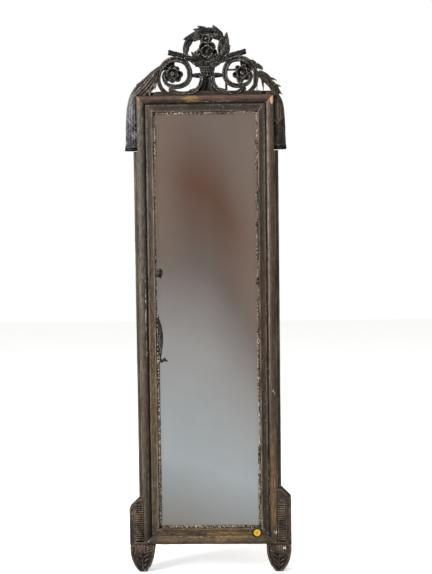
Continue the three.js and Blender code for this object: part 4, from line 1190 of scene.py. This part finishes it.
# The garland's two edges, from the scroll's shoulder down to the drop.
HEAD_OUTER = [(121, 82), (140, 67), (161, 48), (181, 31), (194, 16), (204, -6), (208, -22)]
HEAD_INNER = [(121, 70), (126, 56), (131, 39), (143, 19), (158, 7), (184, -4), (188, -22)]
DROP_OUTER = [(203, -2), (210, -25), (214, -60), (216, -96)]
DROP_INNER = [(185, -2), (185, -25), (185, -60), (185, -96)]


# Folds: the share of the way from the outer edge to the inner one, depth and radius. The first
# three are the cloth's body and the others its ridges.
HEAD_FOLDS = [
    (0.22, 23, 7), (0.5, 23, 7), (0.78, 23, 7), (0.04, 30, 3.6), (0.26, 33, 3), (0.46, 36, 3),
    (0.66, 34, 2.8), (0.86, 32, 2.8), (1.0, 27, 3),
]
DROP_FOLDS = [
    (0.3, 16, 9), (0.52, 16, 9), (0.74, 16, 9), (0.1, 26, 4.4), (0.34, 32, 3.4), (0.55, 35, 3.2),
    (0.75, 33, 3), (0.9, 28, 3.6),
]
HEAD_LEAVES = [
    (128, 62, -66), (140, 46, -50), (152, 34, -42), (138, 60, -24), (150, 50, -20), (164, 38, -16),
    (134, 40, -88), (146, 24, -80), (160, 16, -70), (176, 20, -34), (186, 2, -62),
]
DROP_LEAVES = [(197, 2, -82), (203, -24, -96), (193, -30, -78)]
# The bands that tie the drop: each a line of x, y, depth and share, and its radius.
DROP_TIES = [
    ([(209, -60, 33, 0.7), (200, -74, 37, 1.1), (188, -86, 33, 0.9)], 3.6),
    ([(187, -68, 32, 0.7), (197, -80, 36, 1.1), (212, -92, 32, 0.9)], 3.6),
    ([(188, -92, 31, 0.9), (200, -90, 35, 1.1), (214, -96, 29, 0.9)], 3.2),
]
LEAFY_STEM = [
    (122, 76, 25, 0.6), (135, 66, 26, 0.9), (152, 49, 27, 1), (172, 30, 27, 1.1), (190, 10, 26, 1.3),
    (198, -16, 26, 1.4),
]
LEAFY_FOOT = [(166, 2, 24, 0.8), (178, 2, 24, 1), (192, 0, 24, 1.1)]


SUNK = 9  # how deep a fold's first end lies in the wood


def fold(outer, inner, share, depth, radius):
    """A ridge that keeps the same share of the way between two edges, its first end sunk."""
    line = []
    for i, (edge, other) in enumerate(zip(outer, inner)):
        x, y = edge[0] + (other[0] - edge[0]) * share, edge[1] + (other[1] - edge[1]) * share
        line.append((x, y, depth - SUNK, 0.55) if i == 0 else (x, y, depth, 1.0))
    return rod(line, radius)


def draped_head():
    """The left garland's upper stretch: a ribbon in long folds."""
    parts = [fold(HEAD_OUTER, HEAD_INNER, *row) for row in HEAD_FOLDS]
    leaf = blade(30, 13, 5, crown=0.34, vein=0.14, curl=3)
    parts += sown(leaf, HEAD_LEAVES, 32, size=0.8)
    discarded(leaf)
    return upright(-1, carved(parts))


# Finger leaves of the right garland: root, tip and width.
FINGERS = [
    ((128, 83), (158, 66), 14), ((134, 76), (132, 14), 8), ((140, 70), (141, 12), 7),
    ((146, 66), (187, 32), 14), ((152, 56), (159, 10), 9), ((160, 52), (180, 10), 12),
    ((172, 42), (205, 6), 14), ((172, 32), (184, 4), 12), ((186, 20), (200, -16), 14),
    ((158, 60), (178, 47), 7), ((174, 46), (196, 37), 8), ((186, 28), (207, 20), 8),
    ((190, 10), (211, 0), 8),
]


def leafy_head():
    """The right garland's upper stretch: open, with leaves that hang from one stem like fingers."""
    parts = [rod(LEAFY_STEM, 5.5), rod(LEAFY_FOOT, 8)]
    blank = blade(40, 14, 6, crown=0.34, vein=0.16, curl=3, sway=1.5)
    for i, (root, tip, width) in enumerate(FINGERS):
        leaf = leaf_between(blank, 40, 14, root, tip, width)
        parts.append(moved(leaf, *root, 27 + 3 * (i % 2)))
    discarded(blank)
    return carved(parts)


def garland_drop(side):
    """The stretch that hangs beside the stile: folds that cross where they are tied."""
    parts = [fold(DROP_OUTER, DROP_INNER, *row) for row in DROP_FOLDS]
    husk = blade(44, 15, 5, crown=0.34, vein=0.14, curl=3)
    parts += sown(husk, DROP_LEAVES, 30)
    parts += [rod(line, radius) for line, radius in DROP_TIES]
    discarded(husk)
    return upright(side, carved(parts))


TASSEL_HEAD = -94
TASSEL_FOOT = -148
HEM = 13


def tassel(side):
    """Fringe strands that spread a little and end in a plain hem."""
    rng = random.Random(7)
    inner, outer, strands = 188, 214, 7
    parts = []
    for i in range(strands):
        share = i / (strands - 1)
        x = inner + share * (outer - inner)
        front = 33 - 5 * abs(share - 0.45) + rng.uniform(-1, 1)
        lean = 2.5 * (share - 0.4)
        knee = (x + rng.uniform(-0.8, 0.8), TASSEL_HEAD - 16, front + 1, 1.0)
        ends = (x, TASSEL_HEAD + 1, front, 0.8), (x + lean, TASSEL_FOOT + HEM - 2, front, 1.05)
        parts.append(rod([ends[0], knee, ends[1]], 2.5))
    for x, radius in ((192, 7), (201, 10), (210, 7)):
        foot_x = x + 0.05 * (x - 195)
        parts.append(rod([(x, TASSEL_HEAD, 20, 1), (foot_x, TASSEL_FOOT + 3, 20, 1)], radius))
    for rise, reach in ((10.5, 217.5), (4.5, 218)):
        y = TASSEL_FOOT + rise
        hem = [(185, y, 27, 0.9), (193, y, 33, 1), (208, y, 33, 1), (reach, y, 26, 0.9)]
        parts.append(rod(hem, 4.2))
    for i in range(8):
        parts.append(ball(187 + 4 * i, TASSEL_FOOT + HEM + 1, 32, 2.4))
    return upright(side, carved(parts, 0.9))


def garlands():
    for side, sign, head, seed, finish, head_finish in (
        ("left", -1, draped_head, 20, GARLAND_FINISH, RIBBON_FINISH),
        ("right", 1, leafy_head, 30, BROWN_GARLAND_FINISH, BROWN_GARLAND_FINISH),
    ):
        made = [head(), garland_drop(sign), tassel(sign)]
        finishes = [head_finish, finish, finish]
        for i, part in enumerate(["garland", "drop", "tassel"]):
            node = f"{side}_{part}"
            moved(uneven(made[i], 5, 1.0, seed + i), 0, FRAME_TOP, 0)
            hang(made[i], "carved_" + node, finishes[i], "crest_finish", node)


# ---- ears and feet

FLUTES = 17
FLUTED_HEIGHT = 104.0
FLUTE_FOOT = 13.0  # from the frame's underside to the lowest flute


def ear(node, sign):
    """A side block: a fluted panel next to the stile, inside a raised rim."""
    low, high = bench_box(node)
    outer, inner = max(abs(low.x), abs(high.x)), OUTER_RIGHT + 1
    face = high.z
    border = outer - 14
    rim = [
        (outer - 3, low.y + 3), (outer - 3, high.y - 29), (inner + 10, high.y - 3.5),
        (inner + 1, high.y - 3.5),
    ]
    top = low.y + FLUTE_FOOT + FLUTED_HEIGHT
    fillet = [(border, low.y + 8), (border, top), (inner + 8, top + 5)]
    parts = [
        straight_rod([(x, y, face - 0.4) for x, y in rim], 2.8),
        straight_rod([(x, y, face) for x, y in fillet], 2.2),
    ]
    for i in range(FLUTES):
        y = low.y + FLUTE_FOOT + FLUTED_HEIGHT * i / FLUTES
        parts.append(straight_rod([(inner, y, face + 1.8), (border - 3, y, face + 1.8)], 2.0))
    panel = upright(sign, gathered(parts))
    return uneven(carved([bench_copy(node), panel], 0.9), 8, 0.8, sign)


def foot(node, sign):
    """A pendant leaf: a raised rim, a fluted block and a boss at its head, and oblique ribs."""
    low, high = bench_box(node)
    middle = (abs(low.x) + abs(high.x)) / 2
    top, face = high.y, high.z
    parts = []
    for edge in (-1, 1):
        rim = [(31, 4), (30.5, 22), (25.5, 45), (16, 64), (5, 75)]
        parts.append(rod([(middle + edge * x, top - y, face + 0.5, 1) for x, y in rim], 3.4))
    parts.append(straight_rod([(middle - 28, top - 3, face), (middle + 28, top - 3, face)], 3))
    for i in range(5):
        x = middle - 5 + 5.8 * i
        parts.append(straight_rod([(x, top - 4, face + 2.5), (x, top - 22, face + 2.5)], 2.5))
    parts.append(straight_rod([(middle + x, top - 25, face + 1) for x in (-9, 22)], 2.6))
    rib = blade(26, 11, 6, crown=0.5, vein=0.1)
    for i in range(3):
        y = top - 36 - 11.5 * i
        reach = 1.0 - 0.22 * i
        parts.append(placed(rib, middle - 1, y - 4, face + 1, turn=142, size=reach))
        parts.append(placed(rib, middle + 1, y - 4, face + 1, turn=38, size=reach))
    for i in range(3):
        parts.append(placed(rib, middle - 7, top - 24 + 7 * i, face + 1, turn=160, size=0.85))
    parts.append(rod([(middle, top - 38, face + 2, 1), (middle, top - 70, face + 1, 0.6)], 3.4))
    parts.append(ball(middle + 4, top - 34, face + 2, 9, 0.8))
    discarded(rib)
    ribs = upright(sign, gathered(parts))
    return uneven(carved([bench_copy(node), ribs]), 7, 0.9, sign)


def ears_and_feet():
    for side, sign in (("left", -1), ("right", 1)):
        for part, make, finish in (("ear", ear, EAR_FINISH), ("foot", foot, FOOT_FINISH)):
            node = f"{side}_{part}"
            hang(make(node, sign), "carved_" + node, finish, "gilding", node)


# ---- hardware, back and glass

def hanging_ring(side):
    """A bow of round iron closed by its straight bar."""
    node = side + "_ring"
    low, high = bench_box(node)
    rod_radius = (high.z - low.z) / 2
    depth = (high.z + low.z) / 2
    middle = (low.x + high.x) / 2
    reach = (high.x - low.x) / 2 - rod_radius
    top = high.y - rod_radius
    straight = top - (low.y + rod_radius + reach)
    bow = [(middle + reach, top, depth, 1), (middle + reach, top - straight, depth, 1)]
    bow += [(middle + reach * cos(t), top - straight - reach * sin(t), depth, 1)
            for t in (radians(30 * i) for i in range(1, 6))]
    bow += [(middle - reach, top - straight, depth, 1), (middle - reach, top, depth, 1)]
    bar = rod([(low.x, top, depth, 1), (high.x, top, depth, 1)], rod_radius * 0.98)
    piece = gathered([rod(bow, rod_radius * 0.98), bar])
    hang(piece, "iron_" + node, IRON, "iron", node, body=side + "_hanging_ring")


def paper_dot():
    """A disc of paper stuck on the lower rail, its rim a little lifted."""
    disc = {"radius": DOT_RADIUS, "depth": 1.2, "location": DOT_MIDDLE}
    piece = begun(bpy.ops.mesh.primitive_cylinder_add, vertices=32, **disc)
    with editing(piece):
        pick(piece, lambda co: co.z > DOT_MIDDLE.z)
        bpy.ops.mesh.inset(thickness=DOT_RADIUS * 0.4)
        push(0, 0, -0.4)
    hang(piece, "stuck_paper_dot", PAPER, "paper", "paper_dot")


def back_and_glass():
    refinished("mirror_plate", GLASS)
    paper_dot()
    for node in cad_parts:
        if "board" in node or "block" in node or "batten" in node or node == "crest_brace":
            refinished(node, PINE)
        if "strap" in node:
            refinished(node, IRON)
    for side in ("left", "right"):
        hanging_ring(side)


# ---- studio

CAMERA_PLACE = (0.1336, -3.5, FLOOR / 1000 + 1.0416)
CAMERA_PITCH = -4.126
CAMERA_HEADING = 1.818
CAMERA_ROLL = -0.728
CAMERA_LENS = 79.85
PICTURE_HEIGHT = 36.0


def camera():
    data = bpy.data.cameras.new("camera")
    data.sensor_fit = "VERTICAL"
    data.sensor_height = PICTURE_HEIGHT
    data.lens = CAMERA_LENS
    data.clip_end = 100
    piece = linked("camera", data)
    turn = spun(CAMERA_HEADING, "Z") @ spun(90 + CAMERA_PITCH, "X") @ spun(CAMERA_ROLL, "Z")
    piece.matrix_world = Matrix.Translation(CAMERA_PLACE) @ turn
    bpy.context.scene.camera = piece


def lamp(name, place, target, size, power, tint=(1, 1, 1)):
    data = bpy.data.lights.new(name, "AREA")
    data.shape = "RECTANGLE"
    data.size, data.size_y = size
    data.energy = power
    data.color = tint
    piece = linked(name, data)
    piece.location = place
    piece.rotation_euler = (Vector(target) - Vector(place)).to_track_quat("-Z", "Y").to_euler()


def studio():
    lamp("window", (-2.4, -2.2, 0.8), (0, 0, -0.5), (1.2, 2.2), 150, (1.0, 0.985, 0.96))
    lamp("fill", (2.6, -2.2, 0.2), (0, 0, -0.6), (1.2, 1.8), 16, (0.94, 0.97, 1.0))
    lamp("sky", (0, -0.9, 2.2), (0, 0, -0.4), (2.4, 1.6), 44)
    floor = begun(bpy.ops.mesh.primitive_plane_add, size=14, location=(0, 0, FLOOR / 1000 - 0.0005))
    floor.name = "studio_floor"
    with editing(floor):
        bpy.ops.mesh.subdivide(number_cuts=3)
    paint = Paint(bpy.data.materials.new("pale_floor"))
    cloud = paint.noise(paint.place(), 3, 2)
    tone = paint.mix(cloud, colour(248, 248, 247), colour(252, 252, 252))
    glow = {"Emission Color": (1, 1, 1, 1), "Emission Strength": 0.4}
    floor.data.materials.append(paint.surface(tone, 0.9, **glow))
    floor.visible_glossy = False


# What the glass shows: from the far end's warm, darker wall down to the pale floor. Each stop is
# the upward part of a reflected ray's direction.
ROOM_LOW = -0.265
ROOM_HIGH = 0.06
ROOM_STOPS = [
    (-0.265, colour(138, 134, 127)), (-0.21, colour(174, 180, 183)), (-0.125, colour(162, 159, 157)),
    (-0.055, colour(115, 104, 98)), (0.005, colour(107, 79, 67)), (0.06, colour(124, 111, 103)),
]
ROOM_SIDE = colour(134, 117, 106)
ROOM_LIGHT = 0.55  # how brightly the room lights the mirror from all round
GLASS_MIDDLE = -0.038  # the sideways part of the ray from the middle of the glass


def room():
    world = bpy.data.worlds.new("room")
    bpy.context.scene.world = world
    paint = Paint(world)
    ray = paint.node("TexCoord", out="Generated")
    aside = paint.node("SeparateXYZ", {"Vector": ray}, out=0) - GLASS_MIDDLE
    level = paint.node("SeparateXYZ", {"Vector": ray}, out=2)
    level = level + aside * 0.3 + aside.maths("MAXIMUM", aside, 0.0) * level.step(-0.25, -0.15) * 0.95
    share = paint.node("MapRange", {"Value": level, "From Min": ROOM_LOW, "From Max": ROOM_HIGH})
    stops = [((height - ROOM_LOW) / (ROOM_HIGH - ROOM_LOW), tone) for height, tone in ROOM_STOPS]
    seen = paint.node("ValToRGB", {"Fac": share}, stops=stops)
    side = aside.maths("ABSOLUTE", aside).step(0.008, 0.04) * level.step(-0.09, -0.04)
    seen = paint.mix(side * 0.75, seen, ROOM_SIDE)
    rays = {name: paint.node("LightPath", out=f"Is {name} Ray") for name in ("Camera", "Glossy")}
    mirrored_room = paint.node("Background", {"Color": seen, "Strength": 1.0})
    pale = paint.node("Background", {"Color": (1, 1, 1, 1), "Strength": ROOM_LIGHT})
    backdrop = paint.node("Background", {"Color": (1, 1, 1, 1), "Strength": 1.0})
    indoors = paint.node("MixShader", {0: rays["Glossy"], 1: pale, 2: mirrored_room})
    shown = paint.node("MixShader", {0: rays["Camera"], 1: indoors, 2: backdrop})
    paint.node("OutputWorld", {"Surface": shown})
    bpy.context.scene.view_settings.view_transform = "Standard"


camera()
studio()
room()
frame_members()
bead_slips()
loose_fragments()
crest()
garlands()
ears_and_feet()
back_and_glass()
